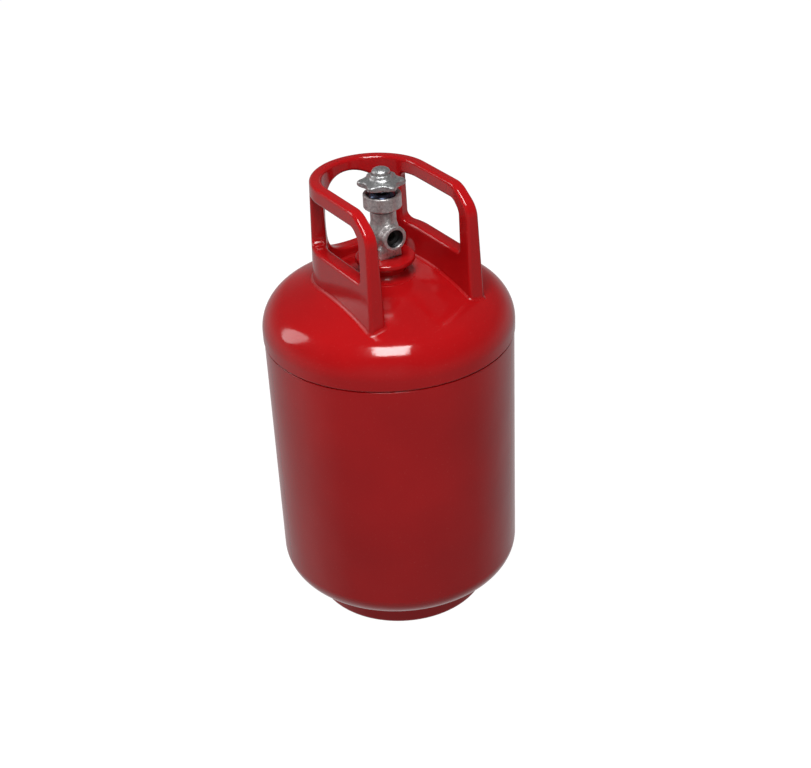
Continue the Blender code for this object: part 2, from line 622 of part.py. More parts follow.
def build_plug(metal, rubber):
    under = SEAT_Z + 0.0015
    cup_r = SEAT_R + 0.0011
    cup_z = SEAT_Z + 0.0035
    shape = [(0.0, PLUG_BORE_Z), (PLUG_BORE_R, PLUG_BORE_Z), (PLUG_BORE_R, PLUG_TOP_Z)]
    shape += [(PLUG_HEX_R, PLUG_TOP_Z), (PLUG_HEX_R, under), (cup_r, under), (cup_r, cup_z), (0.0, cup_z)]
    add_object("valve_plug", lathe(shape, 6), metal)
    disc_r = SEAT_R - GAP
    top = SEAT_Z + DISC_H
    disc = [(0.0, SEAT_Z + GAP), (disc_r, SEAT_Z + GAP), (disc_r, top), (0.0, top)]
    add_object("seat_disc", lathe(disc, SMALL_SIDES), rubber)


def build_relief_valve(metal, steel, rubber):
    """Poppet, seal, spring and screwed cap, drawn along +Z from the relief seat and then laid to the back."""
    seat = RELIEF_SEAT_Y + GAP
    guide_r = RELIEF_BORE_R - 0.0005
    stem_end = RELIEF_FACE_Y - 0.001
    poppet = [(0.0, seat + 0.0016), (0.0048, seat + 0.0016), (0.0048, seat + 0.0007)]
    poppet += [(guide_r, seat + 0.0007), (guide_r, seat + 0.0047), (0.0020, seat + 0.0047)]
    poppet += [(0.0020, stem_end), (0.0, stem_end)]
    add_object("relief_poppet", lathe(poppet, SMALL_SIDES), metal, TO_BACK)
    seal = [(0.0, seat), (0.0045, seat), (0.0045, seat + 0.0013), (0.0, seat + 0.0013)]
    add_object("relief_seal", lathe(seal, SMALL_SIDES), rubber, TO_BACK)
    shank_r = RELIEF_BORE_R - GAP
    rim_r = RELIEF_R - 0.0002
    stop = RELIEF_FACE_Y - 0.0045
    end = RELIEF_FACE_Y + 0.0025
    cap = [(0.0030, stop), (shank_r, stop), (shank_r, RELIEF_FACE_Y + GAP), (rim_r, RELIEF_FACE_Y + GAP)]
    cap += [(rim_r, end - 0.0008), (rim_r - 0.0008, end), (0.0030, end)]
    add_object("relief_cap", lathe(cap, VALVE_SIDES), metal, TO_BACK)
    add_object("relief_spring", coil(0.0048, 0.0007, seat + 0.0054, stop - 0.0010, 3), steel, TO_BACK)


def coil(mean_r, wire_r, start, end, turns):
    """A round-wire spring about Z, with its two ends closed off."""
    bm = bmesh.new()
    sides = 6
    per_turn = 12
    rings = []
    for step in range(turns * per_turn + 1):
        a = 2.0 * math.pi * step / per_turn
        height = start + wire_r * 0.2 + (end - start) * step / (turns * per_turn)
        ring = []
        for side in range(sides):
            b = 2.0 * math.pi * side / sides
            reach = mean_r + wire_r * math.cos(b)
            z = height + wire_r * math.sin(b)
            ring.append(bm.verts.new((reach * math.cos(a), reach * math.sin(a), z)))
        rings.append(ring)
    for ring, other in zip(rings, rings[1:]):
        for side in range(sides):
            after = (side + 1) % sides
            bm.faces.new((ring[side], ring[after], other[after], other[side]))
    bm.faces.new(rings[0])
    bm.faces.new(rings[-1])
    return bm


def main():
    clear_scene()
    paint = make_material("red_paint", (0.45, 0.012, 0.015), 0.25, 0.0)
    weld = make_material("painted_weld", (0.40, 0.012, 0.015), 0.35, 0.0)
    cast = make_material("cast_metal", (0.52, 0.52, 0.53), 0.42, 0.9)
    steel = make_material("bright_steel", (0.62, 0.62, 0.64), 0.25, 1.0)
    brass = make_material("brass", (0.60, 0.45, 0.20), 0.35, 1.0)
    rubber = make_material("black_rubber", (0.02, 0.02, 0.022), 0.6, 0.0)
    dark = make_material("gland_black", (0.03, 0.04, 0.07), 0.15, 0.6)
    build_vessel(paint, weld)
    build_boss(paint, weld)
    build_foot(paint, weld)
    build_guard(paint)
    build_valve_body(cast)
    build_outlet_gasket(rubber)
    build_bonnet(cast, rubber, dark)
    build_spindle(steel, rubber)
    build_handwheel(cast, steel)
    build_plug(brass, rubber)
    build_relief_valve(brass, steel, rubber)


main()
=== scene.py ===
"""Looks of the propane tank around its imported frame, in metres, +Z up, with the valve outlet to -Y."""
import json
import math

import bmesh
import bpy
from mathutils import Matrix, Vector, noise


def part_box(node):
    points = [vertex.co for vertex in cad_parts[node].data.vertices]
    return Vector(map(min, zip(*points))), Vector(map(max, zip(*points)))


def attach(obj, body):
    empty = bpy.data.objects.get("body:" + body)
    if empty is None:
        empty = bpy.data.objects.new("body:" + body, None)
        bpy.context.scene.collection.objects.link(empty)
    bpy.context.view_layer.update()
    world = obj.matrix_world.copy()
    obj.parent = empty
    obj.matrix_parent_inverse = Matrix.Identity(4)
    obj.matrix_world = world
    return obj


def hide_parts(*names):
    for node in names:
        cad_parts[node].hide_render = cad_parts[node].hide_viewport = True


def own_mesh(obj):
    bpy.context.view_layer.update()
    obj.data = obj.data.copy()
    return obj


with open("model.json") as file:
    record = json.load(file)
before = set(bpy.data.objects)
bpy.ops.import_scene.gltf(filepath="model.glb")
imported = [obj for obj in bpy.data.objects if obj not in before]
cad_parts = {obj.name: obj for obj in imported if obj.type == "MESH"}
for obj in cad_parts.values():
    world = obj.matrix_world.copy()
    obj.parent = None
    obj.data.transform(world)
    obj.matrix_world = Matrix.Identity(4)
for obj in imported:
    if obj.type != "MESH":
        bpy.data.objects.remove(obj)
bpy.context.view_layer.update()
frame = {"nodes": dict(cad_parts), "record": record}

SLOTS = {part["node"]: part["material_slot"] for part in frame["record"]["subparts"]}
BODIES = {node: body for body, nodes in frame["record"]["behaviour"]["bodies"].items() for node in nodes}


def low(node):
    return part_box(node)[0]


def high(node):
    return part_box(node)[1]


# Clearance between neighbouring pieces, and the sheet thickness
GAP = 0.0003
WALL = 0.003

# Vessel
SHELL_R = high("lower_shell").x
SHELL_TOP_Z = high("lower_shell").z
SHELL_BASE_Z = 0.066
BASE_KNUCKLE_R = 0.030
BASE_CROWN_R = 0.340
LEDGE_Z = low("girth_weld").z - GAP
HEAD_R = high("upper_head").x
SEAM_Z = low("upper_head").z
SKIRT_TOP_Z = SEAM_Z + 0.011
HEAD_KNUCKLE_R = 0.0435
HEAD_CROWN_R = 0.352
HEAD_HOLE_R = 0.020
FOOT_R = high("foot_ring").x
FOOT_CURL_R = 0.005
FOOT_LIP_R = 0.098

# Boss
BOSS_TOP_Z = high("valve_boss").z
BOSS_END_Z = low("valve_boss").z
BOSS_DISC_R = high("valve_boss").x
BOSS_DISC_H = 0.007
BOSS_NECK_R = 0.0232
TAPER_TOP_R = 0.0143
TAPER_END_R = 0.0128

# Guard, a hollow U open to -Y, drawn as an unrolled band: along is measured from the middle of its back
GUARD_TOP_Z = high("guard").z
GUARD_HALF_W = 0.0723
GUARD_T = 0.014
GUARD_DRAFT_OUT = 0.035
GUARD_DRAFT_IN = 0.012
GUARD_ARC_Y = 0.0207
GUARD_MID_R = 0.065
GUARD_ARC_U = GUARD_MID_R * math.pi / 2.0
GUARD_FRONT_Y = -0.087
GUARD_LEAN = 0.043
GUARD_CHAMFER_Z = 0.5335
GUARD_CHAMFER_Y = -0.058
GUARD_FOOT_Z = 0.408
GUARD_EDGE_R = 0.004
GUARD_FOOT_T = 0.0205
GUARD_WELD = 0.0028
WINDOW_SILL_Z = 0.4742
WINDOW_HEAD_Z = 0.5360
WINDOW_REAR_U = 0.0725
POST_W = 0.0205
OVAL_MID_Z = 0.4921
OVAL_HALF_U = 0.0555
OVAL_HALF_Z = 0.0476
OVAL_STEPS = 72
GUARD_BENDS = 24
GUARD_PITCH = 0.005

# Valve body
OUTLET_Z = (low("outlet_gasket").z + high("outlet_gasket").z) / 2.0
OUTLET_REACH = -low("valve_body").y
OUTLET_R = 0.0150
OUTLET_BORE_R = 0.0108
OUTLET_DEPTH = 0.012
PASSAGE_R = 0.0045
INLET_R = 0.0040
COLUMN_R = 0.0150
COLUMN_TOP_Z = high("valve_body").z
LUMP_R = 0.0172
BASE_HALF = 0.014
SEAT_R = 0.0058
SEAT_Z = low("seat_disc").z - GAP
CHAMBER_R = 0.0100
CHAMBER_TOP_Z = 0.506
SPIGOT_BORE_R = 0.0121
RELIEF_Z = (low("relief_cap").z + high("relief_cap").z) / 2.0
RELIEF_REACH = high("valve_body").y
RELIEF_R = 0.0100
RELIEF_BORE_R = 0.0070
RELIEF_VENT_R = 0.0025
RELIEF_SEAT_Y = 0.0115
SPRING_MEAN_R = 0.0048
SPRING_WIRE_R = 0.0007
SPRING_TURNS = 3

# Bonnet and gland nut
BONNET_R = high("bonnet").x
BONNET_Z = high("bonnet_gasket").z + GAP
BONNET_TOP_Z = high("bonnet").z
BONNET_SPIGOT_R = 0.0118
BONNET_END_Z = low("bonnet").z
CAVITY_R = 0.0120
CAVITY_Z = 0.5246
CUP_R = 0.0185
CUP_Z = 0.5333
GUIDE_R = 0.0088
GUIDE_TOP_Z = 0.518
GLAND_R = high("gland_nut").x
GLAND_TOP_Z = high("gland_nut").z
GLAND_END_Z = low("gland_nut").z

# Spindle
SPINDLE_R = 0.0046
STEM_BORE_R = 0.0050
DOG_R = 0.0033
DOG_END_Z = low("spindle").z
DOG_TOP_Z = 0.5185
COLLAR_R = high("spindle").x
COLLAR_Z = 0.5249
COLLAR_TOP_Z = 0.5279
STUD_R = 0.0027
STUD_Z = 0.5515
STUD_TOP_Z = high("spindle").z
DRIVE_R = 0.0043
DRIVE_Z = 0.5505
DRIVE_TOP_Z = 0.5600

# Handwheel
WHEEL_TIP_R = high("handwheel").y
WHEEL_VALLEY_R = 0.0215
WHEEL_BORE_R = 0.0060
WHEEL_LOBES = 6
HUB_UNDER_Z = low("handwheel").z
WHEEL_UNDER_Z = HUB_UNDER_Z + 0.0042
WHEEL_TOP_Z = WHEEL_UNDER_Z + 0.0078
HUB_R = 0.0122
HUB_TOP_Z = high("handwheel").z
RECESS_R = 0.0112
RECESS_Z = low("wheel_washer").z - GAP
NUT_R = high("wheel_nut").x
NUT_UNDER_Z = low("wheel_nut").z
NUT_TOP_Z = high("wheel_nut").z

# Facets round the turned pieces
VESSEL_SIDES = 256
BOSS_SIDES = 192
VALVE_SIDES = 128

# From a piece turned about +Z to the outlet's axis, along -Y, and the relief valve's, along +Y
ABOUT_X = Matrix.Rotation(math.radians(90.0), 4, "X")
TO_FRONT = Matrix.Translation((0.0, 0.0, OUTLET_Z)) @ ABOUT_X
TO_BACK = Matrix.Translation((0.0, 0.0, RELIEF_Z)) @ ABOUT_X.inverted()


# ------------------------------------------------------------------ materials
class Finish:
    """A Principled material and the few node arrangements that its textures are made of."""

    def __init__(self, name, **values):
        self.material = bpy.data.materials.new(name)
        self.material.use_nodes = True
        self.tree = self.material.node_tree
        self.shader = self.tree.nodes["Principled BSDF"]
        for socket, value in values.items():
            self.shader.inputs[socket.replace("_", " ")].default_value = value
        self.place = self.node("ShaderNodeTexCoord").outputs["Object"]

    def node(self, kind, **inputs):
        made = self.tree.nodes.new(kind)
        for socket, value in inputs.items():
            self.feed(made.inputs[socket.replace("_", " ")], value)
        return made

    def feed(self, socket, value):
        if isinstance(value, bpy.types.NodeSocket):
            self.tree.links.new(value, socket)
        else:
            socket.default_value = value

    def noise(self, scale, detail=2.0, roughness=0.5, stretch=None):
        place = self.place
        if stretch is not None:
            place = self.node("ShaderNodeMapping", Vector=place, Scale=stretch).outputs[0]
        made = self.node("ShaderNodeTexNoise", Vector=place, Scale=scale, Detail=detail, Roughness=roughness)
        return made.outputs["Fac"]

    def spread(self, value, low_in, high_in, low_out, high_out):
        made = self.node("ShaderNodeMapRange", Value=value)
        for index, number in enumerate((low_in, high_in, low_out, high_out)):
            made.inputs[index + 1].default_value = number
        return made.outputs[0]

    def mix(self, factor, first, second):
        made = self.tree.nodes.new("ShaderNodeMix")
        made.data_type = "RGBA"
        for socket, value in ((made.inputs[0], factor), (made.inputs[6], first), (made.inputs[7], second)):
            self.feed(socket, value if isinstance(value, (float, bpy.types.NodeSocket)) else (*value, 1.0))
        return made.outputs[2]

    def combine(self, operation, first, second):
        made = self.tree.nodes.new("ShaderNodeMath")
        made.operation = operation
        self.feed(made.inputs[0], first)
        self.feed(made.inputs[1], second)
        return made.outputs[0]

    def edges(self, start, end):
        """0 in hollows, 1 on corners, by how sharply the surface curves."""
        return self.spread(self.node("ShaderNodeNewGeometry").outputs["Pointiness"], start, end, 0.0, 1.0)

    def bump(self, height, distance, under=None):
        made = self.node("ShaderNodeBump", Height=height, Distance=distance)
        if under is not None:
            self.feed(made.inputs["Normal"], under)
        return made.outputs[0]

    def wear(self, **links):
        for socket, value in links.items():
            self.feed(self.shader.inputs[socket.replace("_", " ")], value)
        return self.material


def enamel(name, bright, deep, smooth, rough, peel):
    """Gloss enamel: slow colour drift, orange peel and soft long waves of the sheet under it."""
    finish = Finish(name, IOR=1.5)
    drift = finish.spread(finish.noise(9.0, 4.0), 0.3, 0.7, 0.0, 1.0)
    color = finish.mix(drift, deep, bright)
    dusty = finish.spread(finish.noise(420.0, 3.0), 0.62, 0.80, 0.0, 0.10)
    color = finish.mix(dusty, color, (0.62, 0.16, 0.14))
    gloss = finish.spread(finish.noise(28.0, 5.0, 0.6), 0.3, 0.7, smooth, rough)
    normal = finish.bump(finish.noise(24.0, 1.0), 0.0004)
    normal = finish.bump(finish.noise(230.0, 2.0), peel, normal)
    return finish.wear(Base_Color=color, Roughness=gloss, Normal=normal)


def scuffed_enamel(name, bright, deep):
    """The foot ring's enamel, rubbed dull and grey along its lowest edge."""
    finish = Finish(name, IOR=1.5)
    height = finish.node("ShaderNodeSeparateXYZ", Vector=finish.place).outputs["Z"]
    ragged = finish.spread(finish.noise(160.0, 4.0), 0.3, 0.7, -0.0022, 0.0022)
    patchy = finish.combine("ADD", height, ragged)
    rubbed = finish.spread(patchy, 0.0006, 0.0022, 1.0, 0.0)
    color = finish.mix(finish.noise(12.0, 4.0), deep, bright)
    color = finish.mix(rubbed, color, (0.16, 0.12, 0.12))
    gloss = finish.spread(rubbed, 0.0, 1.0, 0.20, 0.55)
    normal = finish.bump(finish.noise(230.0, 3.0), 0.0001)
    return finish.wear(Base_Color=color, Roughness=gloss, Normal=normal)


def bore_shade_mask(finish):
    """1 inside the valve's outlet bore, where the recess is painted near-black as shade, 0 elsewhere."""
    place = finish.node("ShaderNodeSeparateXYZ", Vector=finish.place)
    across = finish.combine("POWER", place.outputs["X"], 2.0)
    lift = finish.combine("POWER", finish.combine("SUBTRACT", place.outputs["Z"], OUTLET_Z), 2.0)
    away = finish.combine("SQRT", finish.combine("ADD", across, lift), 0.0)
    inside = finish.spread(away, OUTLET_BORE_R + 0.0002, OUTLET_BORE_R + 0.0008, 1.0, 0.0)
    mouth = finish.spread(place.outputs["Y"], 0.0012 - OUTLET_REACH, 0.0004 - OUTLET_REACH, 1.0, 0.0)
    ahead = finish.spread(place.outputs["Y"], -0.008, -0.010, 0.0, 1.0)
    return finish.combine("MULTIPLY", inside, finish.combine("MULTIPLY", mouth, ahead))


def cast_metal(name, bright, deep, grain, smooth, rough):
    """Sand-cast plated metal: mottled, grainy skin, dark specks, sharp corners painted pale as a highlight,
    and painted shade in the outlet bore.
    """
    finish = Finish(name, Metallic=0.80)
    mottle = finish.spread(finish.noise(330.0, 5.0, 0.7), 0.36, 0.64, 0.0, 1.0)
    color = finish.mix(mottle, deep, bright)
    specks = finish.spread(finish.noise(900.0, 2.0), 0.60, 0.72, 0.0, 0.55)
    color = finish.mix(specks, color, (0.16, 0.14, 0.13))
    # Painted highlight: sharp corners, picked out by pointiness, are painted pale grey.
    corner_highlight = finish.edges(0.53, 0.60)
    color = finish.mix(corner_highlight, color, (0.80, 0.80, 0.80))
    # Painted shade: the inside of the outlet bore is painted near-black.
    color = finish.mix(bore_shade_mask(finish), color, (0.030, 0.030, 0.032))
    gloss = finish.spread(finish.noise(520.0, 4.0, 0.6), 0.3, 0.7, smooth, rough)
    normal = finish.bump(finish.noise(560.0, 3.0, 0.6), grain)
    normal = finish.bump(finish.noise(1700.0, 2.0, 0.6), grain * 0.3, normal)
    return finish.wear(Base_Color=color, Roughness=gloss, Normal=normal)


def turned_metal(name, bright, deep, smooth, rough):
    """Machined metal with fine tool marks round its axis and a little tarnish."""
    finish = Finish(name, Metallic=1.0)
    tarnish = finish.spread(finish.noise(180.0, 4.0), 0.3, 0.7, 0.0, 1.0)
    marks = finish.noise(40.0, 3.0, 0.6, stretch=(1.0, 1.0, 90.0))
    color = finish.mix(tarnish, deep, bright)
    gloss = finish.spread(marks, 0.3, 0.7, smooth, rough)
    normal = finish.bump(marks, 0.00002)
    return finish.wear(Base_Color=color, Roughness=gloss, Normal=normal)


def rubber(name):
    """Matt black rubber with a little grey bloom."""
    finish = Finish(name, IOR=1.5)
    bloom = finish.spread(finish.noise(300.0, 5.0), 0.35, 0.7, 0.0, 1.0)
    color = finish.mix(bloom, (0.012, 0.012, 0.013), (0.034, 0.033, 0.032))
    gloss = finish.spread(bloom, 0.0, 1.0, 0.45, 0.70)
    normal = finish.bump(finish.noise(1400.0, 3.0), 0.00003)
    return finish.wear(Base_Color=color, Roughness=gloss, Normal=normal)


MATERIALS = {
    "red_paint": enamel("red_enamel", (0.43, 0.006, 0.0075), (0.365, 0.0045, 0.0062), 0.08, 0.17, 0.00006),
    "painted_weld": enamel("painted_weld", (0.42, 0.0045, 0.006), (0.34, 0.0035, 0.005), 0.22, 0.36, 0.0001),
    "cast_metal": cast_metal("cast_metal", (0.68, 0.67, 0.66), (0.40, 0.38, 0.38), 0.00028, 0.28, 0.46),
    "bright_steel": turned_metal("bright_steel", (0.66, 0.66, 0.68), (0.50, 0.50, 0.52), 0.18, 0.32),
    "brass": turned_metal("brass", (0.72, 0.53, 0.24), (0.50, 0.35, 0.15), 0.22, 0.40),
    "gland_black": turned_metal("gland_black", (0.16, 0.20, 0.30), (0.05, 0.065, 0.11), 0.16, 0.30),
    "black_rubber": rubber("black_rubber"),
}
WHEEL_METAL = cast_metal("wheel_metal", (0.58, 0.59, 0.59), (0.30, 0.31, 0.31), 0.00040, 0.26, 0.44)
FOOT_PAINT = scuffed_enamel("foot_enamel", (0.46, 0.0060, 0.0075), (0.38, 0.0045, 0.0065))


# ------------------------------------------------------------------ mesh tools
def closed(bm, matrix=None):
    """The bmesh as a mesh whose faces point out, moved by the matrix."""
    bmesh.ops.recalc_face_normals(bm, faces=bm.faces)
    if bm.calc_volume(signed=True) < 0.0:
        bmesh.ops.reverse_faces(bm, faces=bm.faces)
    mesh = bpy.data.meshes.new("piece")
    bm.to_mesh(mesh)
    bm.free()
    if matrix is not None:
        mesh.transform(matrix)
    return mesh


def link(name, mesh):
    obj = bpy.data.objects.new(name, mesh)
    bpy.context.scene.collection.objects.link(obj)
    return obj


def sheet(bm, rings):
    """Quads between neighbouring rings of vertices."""
    for ring, other in zip(rings, rings[1:]):
        for index, vert in enumerate(ring):
            after = (index + 1) % len(ring)
            bm.faces.new((vert, ring[after], other[after], other[index]))


def capped(bm, rings):
    """Quads between neighbouring rings, and a face over the first and the last ring."""
    sheet(bm, rings)
    bm.faces.new(rings[0])
    bm.faces.new(rings[-1])
    return bm


def apply_modifiers(obj):
    """Replace the object's mesh with what its modifiers make of it."""
    graph = bpy.context.evaluated_depsgraph_get()
    made = bpy.data.meshes.new_from_object(obj.evaluated_get(graph))
    obj.modifiers.clear()
    obj.data = made


def cut(obj, meshes, operation="DIFFERENCE"):
    """Take closed meshes away from the object, or unite them with it."""
    for mesh in meshes:
        tool = link("tool", mesh)
        modifier = obj.modifiers.new("cut", "BOOLEAN")
        modifier.operation = operation
        modifier.solver = "EXACT"
        modifier.object = tool
        apply_modifiers(obj)
        bpy.data.objects.remove(tool)


def divide(obj, kind="CATMULL_CLARK"):
    """Split every face in four, rounding the shape unless the kind is SIMPLE."""
    modifier = obj.modifiers.new("divide", "SUBSURF")
    modifier.subdivision_type = kind
    modifier.levels = 1
    modifier.render_levels = 1
    apply_modifiers(obj)


def show(obj, node, material=None, crisp=30.0):
    """Shade the piece, give it its finish and let it stand for its CAD node, on that node's body."""
    obj.data.materials.clear()
    obj.data.materials.append(material or MATERIALS[SLOTS[node]])
    obj.data.shade_smooth()
    obj.data.set_sharp_from_angle(angle=math.radians(crisp))
    weighted = obj.modifiers.new("weighted", "WEIGHTED_NORMAL")
    weighted.keep_sharp = True
    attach(obj, BODIES[node])
    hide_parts(node)
    return obj


def rounded(corners, fine=9.0):
    """Outline through (radius, height, fillet) corners, a fillet having a point about every fine degrees."""
    points = []
    count = len(corners)
    for index, (x, y, fillet) in enumerate(corners):
        here = Vector((x, y))
        if fillet <= 0.0:
            points.append((x, y))
            continue
        back = Vector(corners[index - 1][:2]) - here
        ahead = Vector(corners[(index + 1) % count][:2]) - here
        half = back.angle(ahead) / 2.0
        reach = min(fillet / math.tan(half), 0.49 * back.length, 0.49 * ahead.length)
        radius = reach * math.tan(half)
        centre = here + (back.normalized() + ahead.normalized()).normalized() * radius / math.sin(half)
        first = here + back.normalized() * reach - centre
        last = here + ahead.normalized() * reach - centre
        sweep = math.atan2(first.cross(last), first.dot(last))
        steps = max(2, math.ceil(abs(sweep) / math.radians(fine)))
        for step in range(steps + 1):
            spun = Matrix.Rotation(sweep * step / steps, 2) @ first
            points.append(tuple(centre + spun))
    return points


def lathe(profile, sides, turn=0.0):
    """Turn a closed (radius, height) outline about Z; a point at radius 0 becomes a pole."""
    bm = bmesh.new()
    rings = []
    for radius, height in profile:
        if radius < 1e-7:
            rings.append([bm.verts.new((0.0, 0.0, height))] * sides)
            continue
        angles = [turn + 2.0 * math.pi * step / sides for step in range(sides)]
        rings.append([bm.verts.new((radius * math.cos(a), radius * math.sin(a), height)) for a in angles])
    for index, ring in enumerate(rings):
        other = rings[(index + 1) % len(rings)]
        for step in range(sides):
            after = (step + 1) % sides
            corners = []
            for vert in (ring[step], ring[after], other[after], other[step]):
                if vert not in corners:
                    corners.append(vert)
            if len(corners) > 2:
                bm.faces.new(corners)
    return bm


def turned(name, corners, sides, node, matrix=None, material=None):
    """A turned piece that stands for a CAD node."""
    return show(link(name, closed(lathe(rounded(corners), sides), matrix)), node, material)


def arc(centre, radius, start, end, count):
    """Points of an arc in the (radius, height) plane, angles in degrees from the outward direction."""
    angles = [math.radians(start + (end - start) * step / count) for step in range(count + 1)]
    return [(centre[0] + radius * math.cos(a), centre[1] + radius * math.sin(a), 0.0) for a in angles]


def dish(edge_r, edge_z, knuckle_r, crown_r, inner_r, up, steps=24):
    """Outline of a dished end from its straight edge to inner_r; up is +1 for a head, -1 for a base."""
    tilt = math.degrees(math.asin((edge_r - knuckle_r) / (crown_r - knuckle_r)))
    drop = math.sqrt((crown_r - knuckle_r) ** 2 - (edge_r - knuckle_r) ** 2)
    last = math.degrees(math.acos(inner_r / crown_r))
    knuckle = arc((edge_r - knuckle_r, 0.0), knuckle_r, 0.0, 90.0 - tilt, steps)
    crown = arc((0.0, -drop), crown_r, 90.0 - tilt, last, steps)[1:]
    return [(r, edge_z + up * z, 0.0) for r, z, _fillet in knuckle + crown]


def head_height(radius):
    """Height of the head's outer surface at a radius on its crown."""
    drop = math.sqrt((HEAD_CROWN_R - HEAD_KNUCKLE_R) ** 2 - (HEAD_R - HEAD_KNUCKLE_R) ** 2)
    return SKIRT_TOP_Z - drop + math.sqrt(HEAD_CROWN_R ** 2 - radius ** 2)


def base_height(radius):
    """Height of the lower shell's underside at a radius on its crown."""
    drop = math.sqrt((BASE_CROWN_R - BASE_KNUCKLE_R) ** 2 - (SHELL_R - BASE_KNUCKLE_R) ** 2)
    return SHELL_BASE_Z + drop - math.sqrt(BASE_CROWN_R ** 2 - radius ** 2)


def ripple(obj, pitch, depth):
    """Press the scales of a weld bead into a ring, along the way it runs."""
    mesh = obj.data
    moves = []
    for vert in mesh.vertices:
        run = math.atan2(vert.co.y, vert.co.x) * math.hypot(vert.co.x, vert.co.y)
        drift = 0.35 * noise.noise(vert.co * 180.0)
        scale = abs(math.sin(math.pi * (run / pitch + drift)))
        moves.append(vert.normal * depth * (1.0 - scale) * 0.5)
    for vert, move in zip(mesh.vertices, moves):
        vert.co -= move


def roughen(obj, layers):
    """Move the surface in and out by smooth noise, for each (waves per metre, depth) layer."""
    mesh = obj.data
    moves = []
    for vert in mesh.vertices:
        depth = sum(amount * noise.noise(vert.co * waves) for waves, amount in layers)
        moves.append(vert.normal * depth)
    for vert, move in zip(mesh.vertices, moves):
        vert.co += move


# ------------------------------------------------------------------ vessel
def build_lower_shell():
    neck_r = SHELL_R - 0.0023
    outline = [(neck_r, SHELL_TOP_Z, 0.0003), (neck_r, LEDGE_Z, 0.0004), (SHELL_R, LEDGE_Z, 0.0010)]
    outline += dish(SHELL_R, SHELL_BASE_Z, BASE_KNUCKLE_R, BASE_CROWN_R, 0.0, -1)
    inner = dish(SHELL_R - WALL, SHELL_BASE_Z, BASE_KNUCKLE_R - WALL, BASE_CROWN_R - WALL, 0.0, -1, 12)
    outline += reversed(inner)
    outline += [(SHELL_R - WALL, LEDGE_Z - 0.012, 0.0), (neck_r - WALL, LEDGE_Z - 0.004, 0.0)]
    outline += [(neck_r - WALL, SHELL_TOP_Z, 0.0003)]
    turned("fine_lower_shell", outline, VESSEL_SIDES, "lower_shell")


def build_upper_head():
    knuckle_r = HEAD_KNUCKLE_R - WALL
    outline = [(HEAD_R, SEAM_Z, 0.0010)]
    outline += dish(HEAD_R, SKIRT_TOP_Z, HEAD_KNUCKLE_R, HEAD_CROWN_R, HEAD_HOLE_R, 1)
    inner = dish(HEAD_R - WALL, SKIRT_TOP_Z, knuckle_r, HEAD_CROWN_R - WALL, HEAD_HOLE_R, 1, 12)
    outline += reversed(inner)
    outline += [(HEAD_R - WALL, SEAM_Z, 0.0004)]
    turned("fine_upper_head", outline, VESSEL_SIDES, "upper_head")


def build_girth_weld():
    near = SHELL_R - 0.0020
    outline = [(near, LEDGE_Z + GAP, 0.0), (near + 0.0010, LEDGE_Z + GAP, 0.0003)]
    outline += [(near + 0.0014, (LEDGE_Z + SEAM_Z) / 2.0, 0.0004), (near + 0.0010, SEAM_Z - GAP, 0.0003)]
    outline += [(near, SEAM_Z - GAP, 0.0)]
    turned("fine_girth_weld", outline, VESSEL_SIDES * 2, "girth_weld")


def build_boss():
    neck_z = head_height(0.0) + GAP
    spigot_r = HEAD_HOLE_R - GAP
    disc_z = BOSS_TOP_Z - BOSS_DISC_H
    outline = [(TAPER_TOP_R, BOSS_TOP_Z, 0.0006), (TAPER_END_R, BOSS_END_Z, 0.0004)]
    outline += [(spigot_r, BOSS_END_Z, 0.0010), (spigot_r, neck_z, 0.0002), (BOSS_NECK_R, neck_z, 0.0002)]
    outline += [(BOSS_NECK_R, disc_z, 0.0020), (BOSS_DISC_R, disc_z, 0.0022)]
    outline += [(BOSS_DISC_R, BOSS_TOP_Z, 0.0026)]
    turned("fine_valve_boss", outline, BOSS_SIDES, "valve_boss")
    inside = BOSS_NECK_R + 0.0001
    outside = BOSS_NECK_R + 0.0118
    top_z = neck_z + 0.0050
    bead = [(inside, head_height(inside) - 0.0003, 0.0), (outside, head_height(outside) - 0.0003, 0.0)]
    bead += [(outside, head_height(outside) + 0.0003, 0.0002)]
    flare_w = outside - inside - 0.0004
    flare_h = top_z - head_height(outside) - 0.0003
    for step in range(1, 13):
        a = math.pi * step / 24.0
        bead.append((outside - flare_w * math.sin(a), top_z - flare_h * math.cos(a), 0.0))
    bead += [(inside, top_z + 0.0003, 0.0002)]
    weld = link("fine_boss_weld", closed(lathe(rounded(bead), BOSS_SIDES * 3)))
    ripple(weld, 0.0028, 0.0002)
    show(weld, "boss_weld")


def build_foot():
    inner_r = FOOT_R - WALL
    curl = (FOOT_R - FOOT_CURL_R, FOOT_CURL_R)
    outline = [(FOOT_R, base_height(FOOT_R) - GAP, 0.0)] + arc(curl, FOOT_CURL_R, 0.0, -90.0, 12)
    outline += [(FOOT_LIP_R, 0.0, 0.0010), (FOOT_LIP_R, WALL, 0.0010)]
    outline += arc(curl, FOOT_CURL_R - WALL, -90.0, 0.0, 8) + [(inner_r, base_height(inner_r) - GAP, 0.0)]
    turned("fine_foot_ring", outline, VESSEL_SIDES, "foot_ring", material=FOOT_PAINT)
    near = FOOT_R + 0.0001
    far = FOOT_R + 0.0050
    foot_z = base_height(near) - 0.0050
    bead = [(near, base_height(near) + 0.0003, 0.0), (near, foot_z - 0.0003, 0.0002)]
    bead += arc((far, foot_z), far - near - 0.0004, 175.0, 95.0, 8)
    bead += [(far, base_height(far) - 0.0004, 0.0002), (far, base_height(far) + 0.0003, 0.0)]
    weld = link("fine_foot_ring_weld", closed(lathe(rounded(bead), VESSEL_SIDES * 4)))
    ripple(weld, 0.0035, 0.0004)
    show(weld, "foot_ring_weld")


# ------------------------------------------------------------------ guard
def front_u(height):
    """Distance along the guard, from the middle of its back, to its leaning front end."""
    return GUARD_ARC_U + GUARD_ARC_Y - GUARD_FRONT_Y + GUARD_LEAN * (GUARD_CHAMFER_Z - height)


